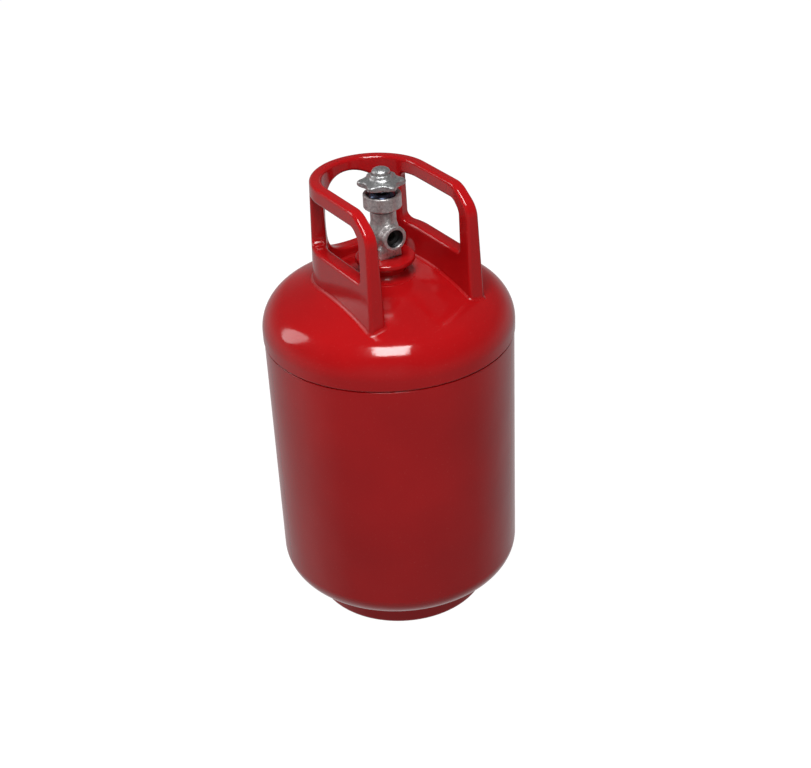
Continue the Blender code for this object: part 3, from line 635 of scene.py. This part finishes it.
def guard_plate():
    """Corners and radii of the unrolled guard, counter-clockwise in (along, height)."""
    top_u = GUARD_ARC_U + GUARD_ARC_Y - GUARD_CHAMFER_Y
    half = [(front_u(GUARD_FOOT_Z), GUARD_FOOT_Z), (front_u(GUARD_CHAMFER_Z), GUARD_CHAMFER_Z)]
    half += [(top_u, GUARD_TOP_Z)]
    return half + [(-u, z) for u, z in reversed(half)], (0.0045, 0.026, 0.030, 0.030, 0.026, 0.0045)


def side_window():
    """Corners and radii of the right side window."""
    slope_z = GUARD_CHAMFER_Z - 0.0085
    slope_u = front_u(slope_z) - POST_W
    corners = [(WINDOW_REAR_U, WINDOW_SILL_Z), (front_u(WINDOW_SILL_Z) - POST_W, WINDOW_SILL_Z)]
    corners += [(slope_u, slope_z), (slope_u - 0.011, WINDOW_HEAD_Z), (WINDOW_REAR_U, WINDOW_HEAD_Z)]
    return corners, (0.009, 0.005, 0.012, 0.014, 0.006)


def oval_window(grow):
    """Outline of the back window, moved outwards by grow."""
    points = []
    for step in range(OVAL_STEPS):
        a = 2.0 * math.pi * step / OVAL_STEPS
        edge = Vector((OVAL_HALF_U * math.cos(a), OVAL_MID_Z + OVAL_HALF_Z * math.sin(a)))
        normal = Vector((math.cos(a) / OVAL_HALF_U, math.sin(a) / OVAL_HALF_Z)).normalized()
        points.append(edge + grow * normal)
    return points


def guard_loops(inset, steps):
    """Outlines of the guard and its three windows, the solid between them drawn in by inset."""
    corners, radii = side_window()
    mirrored = [(-u, z) for u, z in reversed(corners)]
    loops = [offset_outline(*guard_plate(), -inset, steps), offset_outline(corners, radii, inset, steps)]
    loops.append(offset_outline(mirrored, radii[::-1], inset, steps))
    loops.append(oval_window(inset))
    return loops


def offset_outline(corners, radii, grow, steps):
    """Counter-clockwise outline with rounded corners, moved outwards by grow."""
    corners = [Vector(corner) for corner in corners]
    count = len(corners)
    normals = []
    for index in range(count):
        along = (corners[(index + 1) % count] - corners[index]).normalized()
        normals.append(Vector((along.y, -along.x)))
    points = []
    for index in range(count):
        before = normals[index - 1]
        after = normals[index]
        radius = max(radii[index] + grow, 0.0003)
        centre = corners[index] + (before + after) / (1.0 + before.dot(after)) * (grow - radius)
        start = math.atan2(before.y, before.x)
        sweep = math.atan2(before.cross(after), before.dot(after))
        for step in range(steps + 1):
            a = start + sweep * step / steps
            points.append(centre + radius * Vector((math.cos(a), math.sin(a))))
    return points


def guard_bend(along, share, height):
    """Place a point of the unrolled guard: share is 0 on its outer face and 1 on its inner face."""
    below = GUARD_TOP_Z - height
    outer = GUARD_HALF_W + GUARD_DRAFT_OUT * below
    half_width = outer - share * (GUARD_T + (GUARD_DRAFT_OUT + GUARD_DRAFT_IN) * below)
    distance = abs(along)
    side = math.copysign(1.0, along)
    if distance < GUARD_ARC_U:
        a = distance / GUARD_MID_R
        return Vector((side * half_width * math.sin(a), GUARD_ARC_Y + half_width * math.cos(a), height))
    return Vector((side * half_width, GUARD_ARC_Y - (distance - GUARD_ARC_U), height))


def guard_grid():
    """Cutting lines of the unrolled guard, along it and up it."""
    along = [GUARD_ARC_U * step / GUARD_BENDS for step in range(-GUARD_BENDS, GUARD_BENDS + 1)]
    reach = front_u(GUARD_FOOT_Z) - GUARD_ARC_U
    legs = [GUARD_ARC_U + reach * step / 22.0 for step in range(1, 22)]
    along += legs + [-u for u in legs]
    rows = int((GUARD_TOP_Z - GUARD_FOOT_Z) / GUARD_PITCH)
    return along, [GUARD_FOOT_Z + GUARD_PITCH * step for step in range(1, rows + 1)]


def guard_mesh(edge_steps=6, corner_steps=10):
    """Closed guard body with rounded edges, its broad faces cut into an even grid before they are bent."""
    bm = bmesh.new()
    levels = [(GUARD_EDGE_R, 0.0, 0)]
    for step in range(1, edge_steps + 1):
        a = math.radians(90.0 * step / edge_steps)
        levels.append((GUARD_EDGE_R * (1.0 - math.sin(a)), GUARD_EDGE_R * (1.0 - math.cos(a)), 0))
    levels += [(inset, depth, 1) for inset, depth, _face in reversed(levels)]
    rows = []
    for inset, depth, face in levels:
        y = depth if face == 0 else 1.0 - depth
        loops = guard_loops(inset, corner_steps)
        rows.append([[bm.verts.new((p.x, y, p.y)) for p in points] for points in loops])
    for near, far in zip(rows, rows[1:]):
        for ring, other in zip(near, far):
            sheet(bm, (ring, other))
    for row in (rows[0], rows[-1]):
        edges = []
        for ring in row:
            count = len(ring)
            edges += [bm.edges.get((ring[index], ring[(index + 1) % count])) for index in range(count)]
        bmesh.ops.triangle_fill(bm, use_beauty=True, use_dissolve=False, edges=edges)
    along, heights = guard_grid()
    cuts = [((u, 0, 0), (1, 0, 0)) for u in along] + [((0, 0, z), (0, 0, 1)) for z in heights]
    for place, normal in cuts:
        geometry = list(bm.verts) + list(bm.edges) + list(bm.faces)
        bmesh.ops.bisect_plane(bm, geom=geometry, dist=1e-6, plane_co=place, plane_no=normal)
    tidy_grid(bm, along, heights)
    for vert in bm.verts:
        depth = vert.co.y
        thickness = GUARD_T + (GUARD_DRAFT_OUT + GUARD_DRAFT_IN) * (GUARD_TOP_Z - vert.co.z)
        share = depth / thickness if depth < 0.5 else 1.0 - (1.0 - depth) / thickness
        vert.co = guard_bend(vert.co.x, share, vert.co.z)
    return bm


def tidy_grid(bm, along, heights):
    """Merge what the fill left inside each cell of the broad faces' grid."""
    def on_grid(a, b):
        if abs(a.x - b.x) < 1e-6:
            return any(abs(a.x - u) < 2e-6 for u in along)
        return abs(a.z - b.z) < 1e-6 and any(abs(a.z - z) < 2e-6 for z in heights)

    spare = []
    for edge in bm.edges:
        a, b = (vert.co for vert in edge.verts)
        flat = (a.y == 0.0 and b.y == 0.0) or (a.y == 1.0 and b.y == 1.0)
        inside = all(len({vert.co.y for vert in face.verts}) == 1 for face in edge.link_faces)
        if flat and inside and not on_grid(a, b):
            spare.append(edge)
    bmesh.ops.dissolve_edges(bm, edges=spare, use_verts=False)


def build_guard():
    guard = link("fine_guard", closed(guard_mesh()))
    crown = dish(HEAD_R + GAP, SKIRT_TOP_Z, HEAD_KNUCKLE_R + GAP, HEAD_CROWN_R + GAP, 0.0, 1)
    dome = [(HEAD_R + GAP, SEAM_Z)] + [(r, z) for r, z, _fillet in crown] + [(0.0, SEAM_Z)]
    cut(guard, [closed(lathe(dome, VESSEL_SIDES))])
    show(guard, "guard")
    build_guard_weld()


def foot_point(along, share):
    """Where the guard's wall meets the head."""
    height = GUARD_FOOT_Z
    for _pass in range(8):
        point = guard_bend(along, share, height)
        height = head_height(min(math.hypot(point.x, point.y), HEAD_R - HEAD_KNUCKLE_R * 0.3))
    return guard_bend(along, share, height)


def build_guard_weld():
    """A slim concave bead all round the guard's foot."""
    end = front_u(GUARD_FOOT_Z + 0.010)
    corner = GUARD_EDGE_R
    across = corner / GUARD_FOOT_T
    steps = 150
    route = [(-end + corner + 2.0 * (end - corner) * step / steps, 0.0) for step in range(steps + 1)]
    turn = [math.radians(90.0 * step / 6) for step in range(1, 6)]
    route += [(end - corner + corner * math.sin(a), across * (1.0 - math.cos(a))) for a in turn]
    route += [(end, across + (1.0 - 2.0 * across) * step / 6) for step in range(7)]
    route += [(end - corner + corner * math.cos(a), 1.0 - across * (1.0 - math.sin(a))) for a in turn]
    route += [(-u, 1.0 - share) for u, share in route]
    points = [foot_point(u, share) for u, share in route]
    bm = bmesh.new()
    rings = []
    for index, point in enumerate(points):
        ahead = points[(index + 1) % len(points)] - points[index - 1]
        out = Vector((-ahead.y, ahead.x, 0.0)).normalized()
        top = point + Vector((0.0, 0.0, GUARD_WELD))
        far = point + out * GUARD_WELD
        far.z = head_height(math.hypot(far.x, far.y)) + 0.0001
        middle = point + (top - point) * 0.22 + (far - point) * 0.22
        section = []
        for step in range(7):
            t = step / 6.0
            section.append(top * (1.0 - t) ** 2 + middle * (2.0 * t * (1.0 - t)) + far * t ** 2)
        sink = Vector((0.0, 0.0, 0.0008))
        section += [far - sink, point - out * 0.0010 - sink, top - out * 0.0010]
        rings.append([bm.verts.new(p) for p in section])
    sheet(bm, rings + rings[:1])
    weld = link("guard_weld", closed(bm))
    weld.data.materials.append(MATERIALS["painted_weld"])
    weld.data.shade_smooth()
    weld.data.set_sharp_from_angle(angle=math.radians(40.0))
    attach(weld, BODIES["guard"])


# ------------------------------------------------------------------ valve
def thread_cutter(radius, depth, pitch, start, end, sides=96, rows_per_pitch=8):
    """A screw-shaped tool along +Z, which leaves an internal thread."""
    bm = bmesh.new()
    rows = int((end - start) / pitch * rows_per_pitch)
    rings = []
    for row in range(rows + 1):
        height = start + (end - start) * row / rows
        ring = []
        for step in range(sides):
            a = 2.0 * math.pi * step / sides
            phase = (height / pitch - step / sides) % 1.0
            crest = 1.0 - abs(2.0 * phase - 1.0)
            reach = radius - depth * (1.0 - min(1.0, crest * 1.6))
            ring.append(bm.verts.new((reach * math.cos(a), reach * math.sin(a), height)))
        rings.append(ring)
    return capped(bm, rings)


def square_base():
    """The block of the valve that a spanner holds, tapering into the round body."""
    bm = bmesh.new()
    base_z = BOSS_TOP_Z + GAP
    levels = ((BASE_HALF, base_z), (BASE_HALF, base_z + 0.0115), (BASE_HALF - 0.003, base_z + 0.020))
    signs = ((1, 1), (-1, 1), (-1, -1), (1, -1))
    return capped(bm, [[bm.verts.new((half * x, half * y, z)) for x, y in signs] for half, z in levels])


def valve_castings():
    """The closed shapes that the valve body's casting is made of."""
    top_r = TAPER_TOP_R - GAP
    end_z = BOSS_END_Z - 0.001
    column = [(0.0, end_z, 0.0), (TAPER_END_R - GAP, end_z, 0.0), (top_r, BOSS_TOP_Z, 0.0)]
    column += [(top_r, BOSS_TOP_Z + 0.010, 0.004), (LUMP_R, OUTLET_Z - 0.006, 0.008)]
    column += [(LUMP_R, OUTLET_Z + 0.006, 0.010), (COLUMN_R, OUTLET_Z + 0.015, 0.008)]
    column += [(COLUMN_R, COLUMN_TOP_Z, 0.0), (0.0, COLUMN_TOP_Z, 0.0)]
    root = CHAMBER_R - 0.004
    neck = OUTLET_R - 0.0007
    nozzle = [(0.0, root, 0.0), (neck, root, 0.0), (neck, OUTLET_REACH - 0.0062, 0.0015)]
    nozzle += [(OUTLET_R, OUTLET_REACH - 0.0046, 0.0015), (OUTLET_R, OUTLET_REACH, 0.0011)]
    nozzle += [(0.0, OUTLET_REACH, 0.0)]
    relief = [(0.0, root, 0.0), (RELIEF_R, root, 0.0), (RELIEF_R, RELIEF_REACH, 0.001)]
    relief += [(0.0, RELIEF_REACH, 0.0)]
    return [closed(lathe(rounded(column), VALVE_SIDES)), closed(square_base()),
            closed(lathe(rounded(nozzle), VALVE_SIDES), TO_FRONT),
            closed(lathe(rounded(relief), VALVE_SIDES), TO_BACK)]


def valve_bores():
    """The tools that bore the valve body: inlet and chamber, outlet with its thread, and relief vent."""
    end_z = BOSS_END_Z - 0.010
    floor_z = SEAT_Z - 0.0015
    above = COLUMN_TOP_Z + 0.005
    passage = [(0.0, end_z), (INLET_R, end_z), (INLET_R, SEAT_Z), (SEAT_R, SEAT_Z)]
    passage += [(SEAT_R + 0.0004, floor_z), (CHAMBER_R, floor_z), (CHAMBER_R, CHAMBER_TOP_Z)]
    passage += [(SPIGOT_BORE_R, CHAMBER_TOP_Z), (SPIGOT_BORE_R, above), (0.0, above)]
    socket_end = OUTLET_REACH - OUTLET_DEPTH
    start = SEAT_R + 0.0022
    plain = socket_end + 0.0034
    bore = [(0.0, start), (PASSAGE_R, start), (PASSAGE_R, socket_end), (OUTLET_BORE_R, socket_end)]
    bore += [(OUTLET_BORE_R, plain), (0.0, plain)]
    outside = OUTLET_REACH + 0.0008
    mouth = [(0.0, OUTLET_REACH - 0.0022), (OUTLET_BORE_R - 0.0009, OUTLET_REACH - 0.0022)]
    mouth += [(OUTLET_BORE_R, OUTLET_REACH - 0.0012), (OUTLET_BORE_R, OUTLET_REACH - 0.0004)]
    mouth += [(OUTLET_BORE_R + 0.0012, outside), (0.0, outside)]
    thread = thread_cutter(OUTLET_BORE_R, 0.0007, 0.0018, plain - 0.0005, OUTLET_REACH - 0.0018)
    vent = [(0.0, 0.001), (RELIEF_VENT_R, 0.001), (RELIEF_VENT_R, RELIEF_SEAT_Y)]
    vent += [(RELIEF_BORE_R, RELIEF_SEAT_Y)]
    vent += [(RELIEF_BORE_R, RELIEF_REACH + 0.001), (0.0, RELIEF_REACH + 0.001)]
    tools = [closed(lathe(passage, 64, 0.02)), closed(lathe(vent, 64), TO_BACK)]
    return tools + [closed(bm, TO_FRONT) for bm in (lathe(bore, 96), thread, lathe(mouth, 96))]


def build_valve_body():
    """Cast body: united, remeshed and smoothed into one skin, then roughened and bored."""
    shapes = valve_castings()
    body = link("fine_valve_body", shapes[0])
    cut(body, shapes[1:], "UNION")
    remesh = body.modifiers.new("skin", "REMESH")
    remesh.mode = "VOXEL"
    remesh.voxel_size = 0.00055
    soften = body.modifiers.new("soften", "SMOOTH")
    soften.factor = 0.5
    soften.iterations = 3
    apply_modifiers(body)
    roughen(body, ((220.0, 0.00020), (700.0, 0.00009)))
    cut(body, valve_bores())
    show(body, "valve_body", crisp=40.0)


def build_bonnet():
    flange = [(BONNET_SPIGOT_R, BONNET_Z, 0.0003), (COLUMN_R + 0.0020, BONNET_Z, 0.0008)]
    flange += [(BONNET_R, BONNET_Z + 0.0030, 0.0012), (BONNET_R, BONNET_TOP_Z, 0.0011)]
    flange += [(CUP_R + 0.0002, BONNET_TOP_Z, 0.0009), (CUP_R, CUP_Z, 0.0008), (CAVITY_R, CUP_Z, 0.0004)]
    flange += [(CAVITY_R, CAVITY_Z, 0.0), (STEM_BORE_R, CAVITY_Z, 0.0002), (STEM_BORE_R, BONNET_END_Z, 0.0)]
    flange += [(BONNET_SPIGOT_R, BONNET_END_Z, 0.0004)]
    bonnet = link("fine_bonnet", closed(lathe(rounded(flange), 240)))
    divide(bonnet, "SIMPLE")
    roughen(bonnet, ((260.0, 0.00012), (800.0, 0.00007)))
    below = BONNET_END_Z - 0.006
    guide = [(0.0, below), (GUIDE_R, below), (GUIDE_R, GUIDE_TOP_Z), (0.0, GUIDE_TOP_Z)]
    cut(bonnet, [closed(lathe(guide, 6))])
    show(bonnet, "bonnet", crisp=45.0)


def build_gland_nut():
    shank_r = CAVITY_R - GAP
    seat_z = CUP_Z + 0.0004
    groove_z = COLLAR_TOP_Z + 0.0068
    nut = [(STEM_BORE_R, GLAND_END_Z, 0.0), (shank_r, GLAND_END_Z, 0.0003), (shank_r, seat_z, 0.0)]
    nut += [(GLAND_R, seat_z, 0.0004), (GLAND_R, GLAND_TOP_Z - 0.0036, 0.0016)]
    nut += [(GLAND_R - 0.0038, GLAND_TOP_Z, 0.0024), (STEM_BORE_R, GLAND_TOP_Z, 0.0006)]
    nut += [(STEM_BORE_R, groove_z + 0.0026, 0.0), (STEM_BORE_R + 0.0022, groove_z + 0.0026, 0.0)]
    nut += [(STEM_BORE_R + 0.0022, groove_z, 0.0), (STEM_BORE_R, groove_z, 0.0)]
    turned("fine_gland_nut", nut, VALVE_SIDES, "gland_nut")


def build_outlet_gasket():
    near = OUTLET_REACH - OUTLET_DEPTH + GAP
    far = near + 0.0027
    hole_r = PASSAGE_R + 0.0011
    rim_r = OUTLET_BORE_R - GAP
    ring = [(hole_r, near, 0.0), (rim_r, near, 0.0), (rim_r, far, 0.0006), (hole_r, far, 0.0006)]
    turned("fine_outlet_gasket", ring, VALVE_SIDES, "outlet_gasket", TO_FRONT)


def build_spindle():
    stem = [(0.0, DOG_END_Z, 0.0), (DOG_R, DOG_END_Z, 0.0005), (DOG_R, DOG_TOP_Z, 0.0)]
    stem += [(SPINDLE_R, DOG_TOP_Z, 0.0005), (SPINDLE_R, COLLAR_Z, 0.0), (COLLAR_R, COLLAR_Z, 0.0005)]
    stem += [(COLLAR_R, COLLAR_TOP_Z, 0.0005), (SPINDLE_R, COLLAR_TOP_Z, 0.0), (SPINDLE_R, STUD_Z, 0.0004)]
    stem += [(STUD_R, STUD_Z, 0.0), (STUD_R, STUD_TOP_Z, 0.0005), (0.0, STUD_TOP_Z, 0.0)]
    spindle = link("fine_spindle", closed(lathe(rounded(stem), 96)))
    drive = [(0.0, DRIVE_Z), (DRIVE_R, DRIVE_Z), (DRIVE_R, DRIVE_TOP_Z), (0.0, DRIVE_TOP_Z)]
    cut(spindle, [closed(lathe(drive, 4, math.pi / 4.0))], "UNION")
    show(spindle, "spindle")


def build_relief_cap():
    shank_r = RELIEF_BORE_R - GAP
    rim_r = RELIEF_R - 0.0002
    stop = RELIEF_REACH - 0.0045
    end = RELIEF_REACH + 0.0025
    cap = [(0.0030, stop, 0.0), (shank_r, stop, 0.0003), (shank_r, RELIEF_REACH + GAP, 0.0)]
    cap += [(rim_r, RELIEF_REACH + GAP, 0.0003), (rim_r, end, 0.0009), (0.0030, end, 0.0005)]
    turned("fine_relief_cap", cap, VALVE_SIDES, "relief_cap", TO_BACK)


def build_relief_spring():
    """A round-wire spring between poppet and cap, drawn at one fixed length, though the real one shortens as
    the relief valve lifts.
    """
    start = low("relief_spring").y + SPRING_WIRE_R
    end = high("relief_spring").y - SPRING_WIRE_R
    per_turn = 48
    sides = 16
    steps = SPRING_TURNS * per_turn
    bm = bmesh.new()
    rings = []
    for step in range(steps + 1):
        a = 2.0 * math.pi * step / per_turn
        rings.append([])
        for side in range(sides):
            b = 2.0 * math.pi * side / sides
            reach = SPRING_MEAN_R + SPRING_WIRE_R * math.cos(b)
            rise = start + (end - start) * step / steps + SPRING_WIRE_R * math.sin(b)
            rings[-1].append(bm.verts.new((reach * math.cos(a), reach * math.sin(a), rise)))
    spring = show(link("fine_relief_spring", closed(capped(bm, rings), TO_BACK)), "relief_spring")
    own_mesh(spring)


# ------------------------------------------------------------------ handwheel
def lobe(angle):
    """1 at the tip of a lobe, 0 in the middle of a scallop."""
    return (0.5 + 0.5 * math.cos(WHEEL_LOBES * (angle - math.pi / 2.0))) ** 1.4


def wheel_rows():
    """The wheel's section: (radius, share of the lobed outline, height, what a lobe's tip adds to it)."""
    hub_under = ((WHEEL_BORE_R, 0.0), (0.0112, 0.0), (0.0124, 0.0003), (0.0136, 0.0012), (0.0144, 0.0026))
    rim_under = ((0.80, 0.0, 0.0004), (0.92, 0.0001, 0.0008), (0.972, 0.0006, 0.0010))
    rim_under += ((0.996, 0.0016, 0.0012), (1.0, 0.0034, 0.0004))
    rim_top = ((0.997, -0.0020, -0.0006), (0.980, -0.0008, -0.0009), (0.945, -0.0001, -0.0009))
    rim_top += ((0.87, 0.0003, -0.0007), (0.78, 0.0009, -0.0003))
    hub_top = ((0.0146, WHEEL_TOP_Z + 0.0022), (0.0135, WHEEL_TOP_Z + 0.0036))
    hub_top += ((HUB_R + 0.0005, HUB_TOP_Z - 0.0012), (HUB_R - 0.0001, HUB_TOP_Z - 0.0003))
    hub_top += ((HUB_R - 0.0006, HUB_TOP_Z), (RECESS_R + 0.0001, HUB_TOP_Z))
    hub_top += ((RECESS_R, HUB_TOP_Z - 0.0004), (RECESS_R, RECESS_Z), (WHEEL_BORE_R, RECESS_Z))
    rows = [(radius, 0.0, HUB_UNDER_Z + rise, 0.0) for radius, rise in hub_under]
    rows.append((0.0152, 0.0, WHEEL_UNDER_Z - 0.0004, 0.0))
    rows += [(0.0, share, WHEEL_UNDER_Z + rise, press) for share, rise, press in rim_under]
    rows += [(0.0, share, WHEEL_TOP_Z + rise, press) for share, rise, press in rim_top]
    return rows + [(radius, 0.0, height, 0.0) for radius, height in hub_top]


def build_handwheel():
    sides = WHEEL_LOBES * 48
    bm = bmesh.new()
    rings = []
    for radius, share, height, press in wheel_rows():
        ring = []
        for step in range(sides):
            a = 2.0 * math.pi * step / sides
            reach = radius + share * (WHEEL_VALLEY_R + (WHEEL_TIP_R - WHEEL_VALLEY_R) * lobe(a))
            ring.append(bm.verts.new((reach * math.cos(a), reach * math.sin(a), height + press * lobe(a))))
        rings.append(ring)
    sheet(bm, rings + rings[:1])
    wheel = link("fine_handwheel", closed(bm))
    divide(wheel)
    roughen(wheel, ((260.0, 0.00022), (760.0, 0.00012)))
    show(wheel, "handwheel", WHEEL_METAL, 50.0)


def build_wheel_nut():
    bore_r = STUD_R + 0.0005
    crown_z = HUB_TOP_Z + 0.0008
    nut = [(bore_r, NUT_UNDER_Z, 0.0), (NUT_R, NUT_UNDER_Z, 0.0004)]
    for step in range(25):
        a = math.pi * step / 48.0
        nut.append((NUT_R * math.cos(a) ** 0.85, crown_z + (NUT_TOP_Z - crown_z) * math.sin(a) ** 0.85, 0.0))
    nut[-1] = (0.0, NUT_TOP_Z, 0.0)
    nut += [(0.0, STUD_TOP_Z + 0.0010, 0.0), (bore_r, STUD_TOP_Z + 0.0010, 0.0)]
    turned("fine_wheel_nut", nut, VALVE_SIDES, "wheel_nut", material=WHEEL_METAL)


# ------------------------------------------------------------------ stage
CAMERA_LENS = 62.59
CAMERA_AZIMUTH = math.radians(-30.66)
CAMERA_ELEVATION = math.radians(30.758)
CAMERA_ROLL = 0.0489
CAMERA_DISTANCE = 1.69275
CAMERA_ASIDE = 0.0196
CAMERA_BELOW = 0.0683

# The room's grey by height, from straight down at 0 to straight up at 1, and its tint
ROOM_GREYS = ((0.0, 0.95), (0.20, 0.58), (0.47, 0.44), (0.55, 0.28), (0.66, 0.12), (1.0, 0.07))
ROOM_TINT = (0.54, 0.47, 0.475)
# Where the room's front is, and how its brightness runs from a cosine of 0.35 off it to one of -0.25
ROOM_FRONT = CAMERA_AZIMUTH + math.radians(14.0)
ROOM_FLANK = (0.35, -0.25, 0.90, 1.80)
FLOOR_R = 12.0
FLOOR_Z = -0.0005


def build_camera():
    """The camera looks down at the seam's centre, which lies a little left of and above its axis."""
    level = Matrix.Rotation(CAMERA_AZIMUTH, 3, "Z")
    forward = level @ Vector((0.0, math.cos(CAMERA_ELEVATION), -math.sin(CAMERA_ELEVATION)))
    right = level @ Vector((1.0, 0.0, 0.0))
    down = forward.cross(right)
    tilted_right = math.cos(CAMERA_ROLL) * right + math.sin(CAMERA_ROLL) * down
    tilted_down = math.cos(CAMERA_ROLL) * down - math.sin(CAMERA_ROLL) * right
    aim = Vector((0.0, 0.0, SEAM_Z)) + CAMERA_ASIDE * tilted_right + CAMERA_BELOW * tilted_down
    data = bpy.data.cameras.new("camera")
    data.lens = CAMERA_LENS
    data.sensor_width = 36.0
    camera = bpy.data.objects.new("camera", data)
    bpy.context.scene.collection.objects.link(camera)
    axes = Matrix((tilted_right, -tilted_down, -forward)).transposed()
    camera.matrix_world = Matrix.Translation(aim - CAMERA_DISTANCE * forward) @ axes.to_4x4()
    bpy.context.scene.camera = camera


def area_light(name, azimuth, elevation, distance, width, height, radiance, aim=Vector((0.0, 0.0, 0.35))):
    """A soft box that faces the tank; azimuth and elevation are in degrees, azimuth 0 being -Y."""
    a = math.radians(azimuth)
    e = math.radians(elevation)
    away = Vector((math.sin(a) * math.cos(e), -math.cos(a) * math.cos(e), math.sin(e)))
    data = bpy.data.lights.new(name, "AREA")
    data.shape = "RECTANGLE"
    data.size = width
    data.size_y = height
    data.energy = radiance * math.pi * width * height
    light = bpy.data.objects.new(name, data)
    light.location = aim + distance * away
    light.rotation_mode = "QUATERNION"
    light.rotation_quaternion = away.to_track_quat("Z", "Y")
    bpy.context.scene.collection.objects.link(light)
    return light


def build_world():
    """A white surround for the eye, and a dim room for reflections, brighter low down and at the back."""
    world = bpy.data.worlds.new("studio")
    world.use_nodes = True
    bpy.context.scene.world = world
    tree = world.node_tree
    tree.nodes.clear()
    add = tree.nodes.new
    join = tree.links.new
    direction = add("ShaderNodeTexCoord").outputs["Generated"]
    room = add("ShaderNodeBackground")
    white = add("ShaderNodeBackground")
    white.inputs["Color"].default_value = (1.0, 1.0, 1.0, 1.0)
    height = add("ShaderNodeSeparateXYZ")
    join(direction, height.inputs[0])
    reach = add("ShaderNodeMapRange")
    reach.inputs["From Min"].default_value = -1.0
    join(height.outputs["Z"], reach.inputs["Value"])
    ramp = add("ShaderNodeValToRGB")
    while len(ramp.color_ramp.elements) < len(ROOM_GREYS):
        ramp.color_ramp.elements.new(0.5)
    for element, (position, grey) in zip(ramp.color_ramp.elements, ROOM_GREYS):
        element.position = position
        element.color = (*(tint * grey for tint in ROOM_TINT), 1.0)
    join(reach.outputs[0], ramp.inputs[0])
    join(ramp.outputs[0], room.inputs["Color"])
    facing = add("ShaderNodeVectorMath")
    facing.operation = "DOT_PRODUCT"
    facing.inputs[1].default_value = (math.sin(ROOM_FRONT), -math.cos(ROOM_FRONT), 0.0)
    join(direction, facing.inputs[0])
    flank = add("ShaderNodeMapRange")
    for index, number in enumerate(ROOM_FLANK):
        flank.inputs[index + 1].default_value = number
    join(facing.outputs["Value"], flank.inputs["Value"])
    join(flank.outputs[0], room.inputs["Strength"])
    blend = add("ShaderNodeMixShader")
    join(add("ShaderNodeLightPath").outputs["Is Camera Ray"], blend.inputs[0])
    join(room.outputs[0], blend.inputs[1])
    join(white.outputs[0], blend.inputs[2])
    join(blend.outputs[0], add("ShaderNodeOutputWorld").inputs[0])


def build_floor():
    """A floor that glows white and takes shadows, and that the tank does not mirror."""
    bm = bmesh.new()
    bmesh.ops.create_circle(bm, cap_ends=True, segments=64, radius=FLOOR_R)
    mesh = bpy.data.meshes.new("floor")
    bm.to_mesh(mesh)
    bm.free()
    floor = link("floor", mesh)
    floor.location.z = FLOOR_Z
    material = bpy.data.materials.new("floor")
    material.use_nodes = True
    shader = material.node_tree.nodes["Principled BSDF"]
    shader.inputs["Base Color"].default_value = (0.12, 0.12, 0.12, 1.0)
    shader.inputs["Roughness"].default_value = 1.0
    shader.inputs["Specular IOR Level"].default_value = 0.0
    shader.inputs["Emission Color"].default_value = (1.0, 1.0, 1.0, 1.0)
    shader.inputs["Emission Strength"].default_value = 1.0
    mesh.materials.append(material)
    floor.visible_diffuse = False
    floor.visible_glossy = False


def build_stage():
    build_world()
    build_floor()
    # Azimuth, elevation, distance, width, height, radiance
    area_light("key", -30.0, 64.0, 1.6, 0.62, 0.75, 17.5)
    area_light("window", -135.0, 27.0, 2.4, 0.9, 1.5, 2.9).data.shape = "ELLIPSE"
    area_light("fill", 60.0, 30.0, 2.6, 1.0, 1.2, 0.6).visible_glossy = False
    area_light("front", -36.0, 10.0, 1.3, 1.0, 0.7, 1.4).visible_glossy = False
    bpy.context.scene.view_settings.view_transform = "Standard"


def finish_hidden_nodes():
    """Pieces inside the valve keep their CAD shape and get their finish."""
    for name, node in frame["nodes"].items():
        if not node.hide_render:
            node.data.materials.clear()
            node.data.materials.append(MATERIALS[SLOTS[name]])


build_stage()
build_camera()
build_lower_shell()
build_upper_head()
build_girth_weld()
build_boss()
build_foot()
build_guard()
build_valve_body()
build_bonnet()
build_gland_nut()
build_outlet_gasket()
build_spindle()
build_relief_cap()
build_relief_spring()
build_handwheel()
build_wheel_nut()
finish_hidden_nodes()
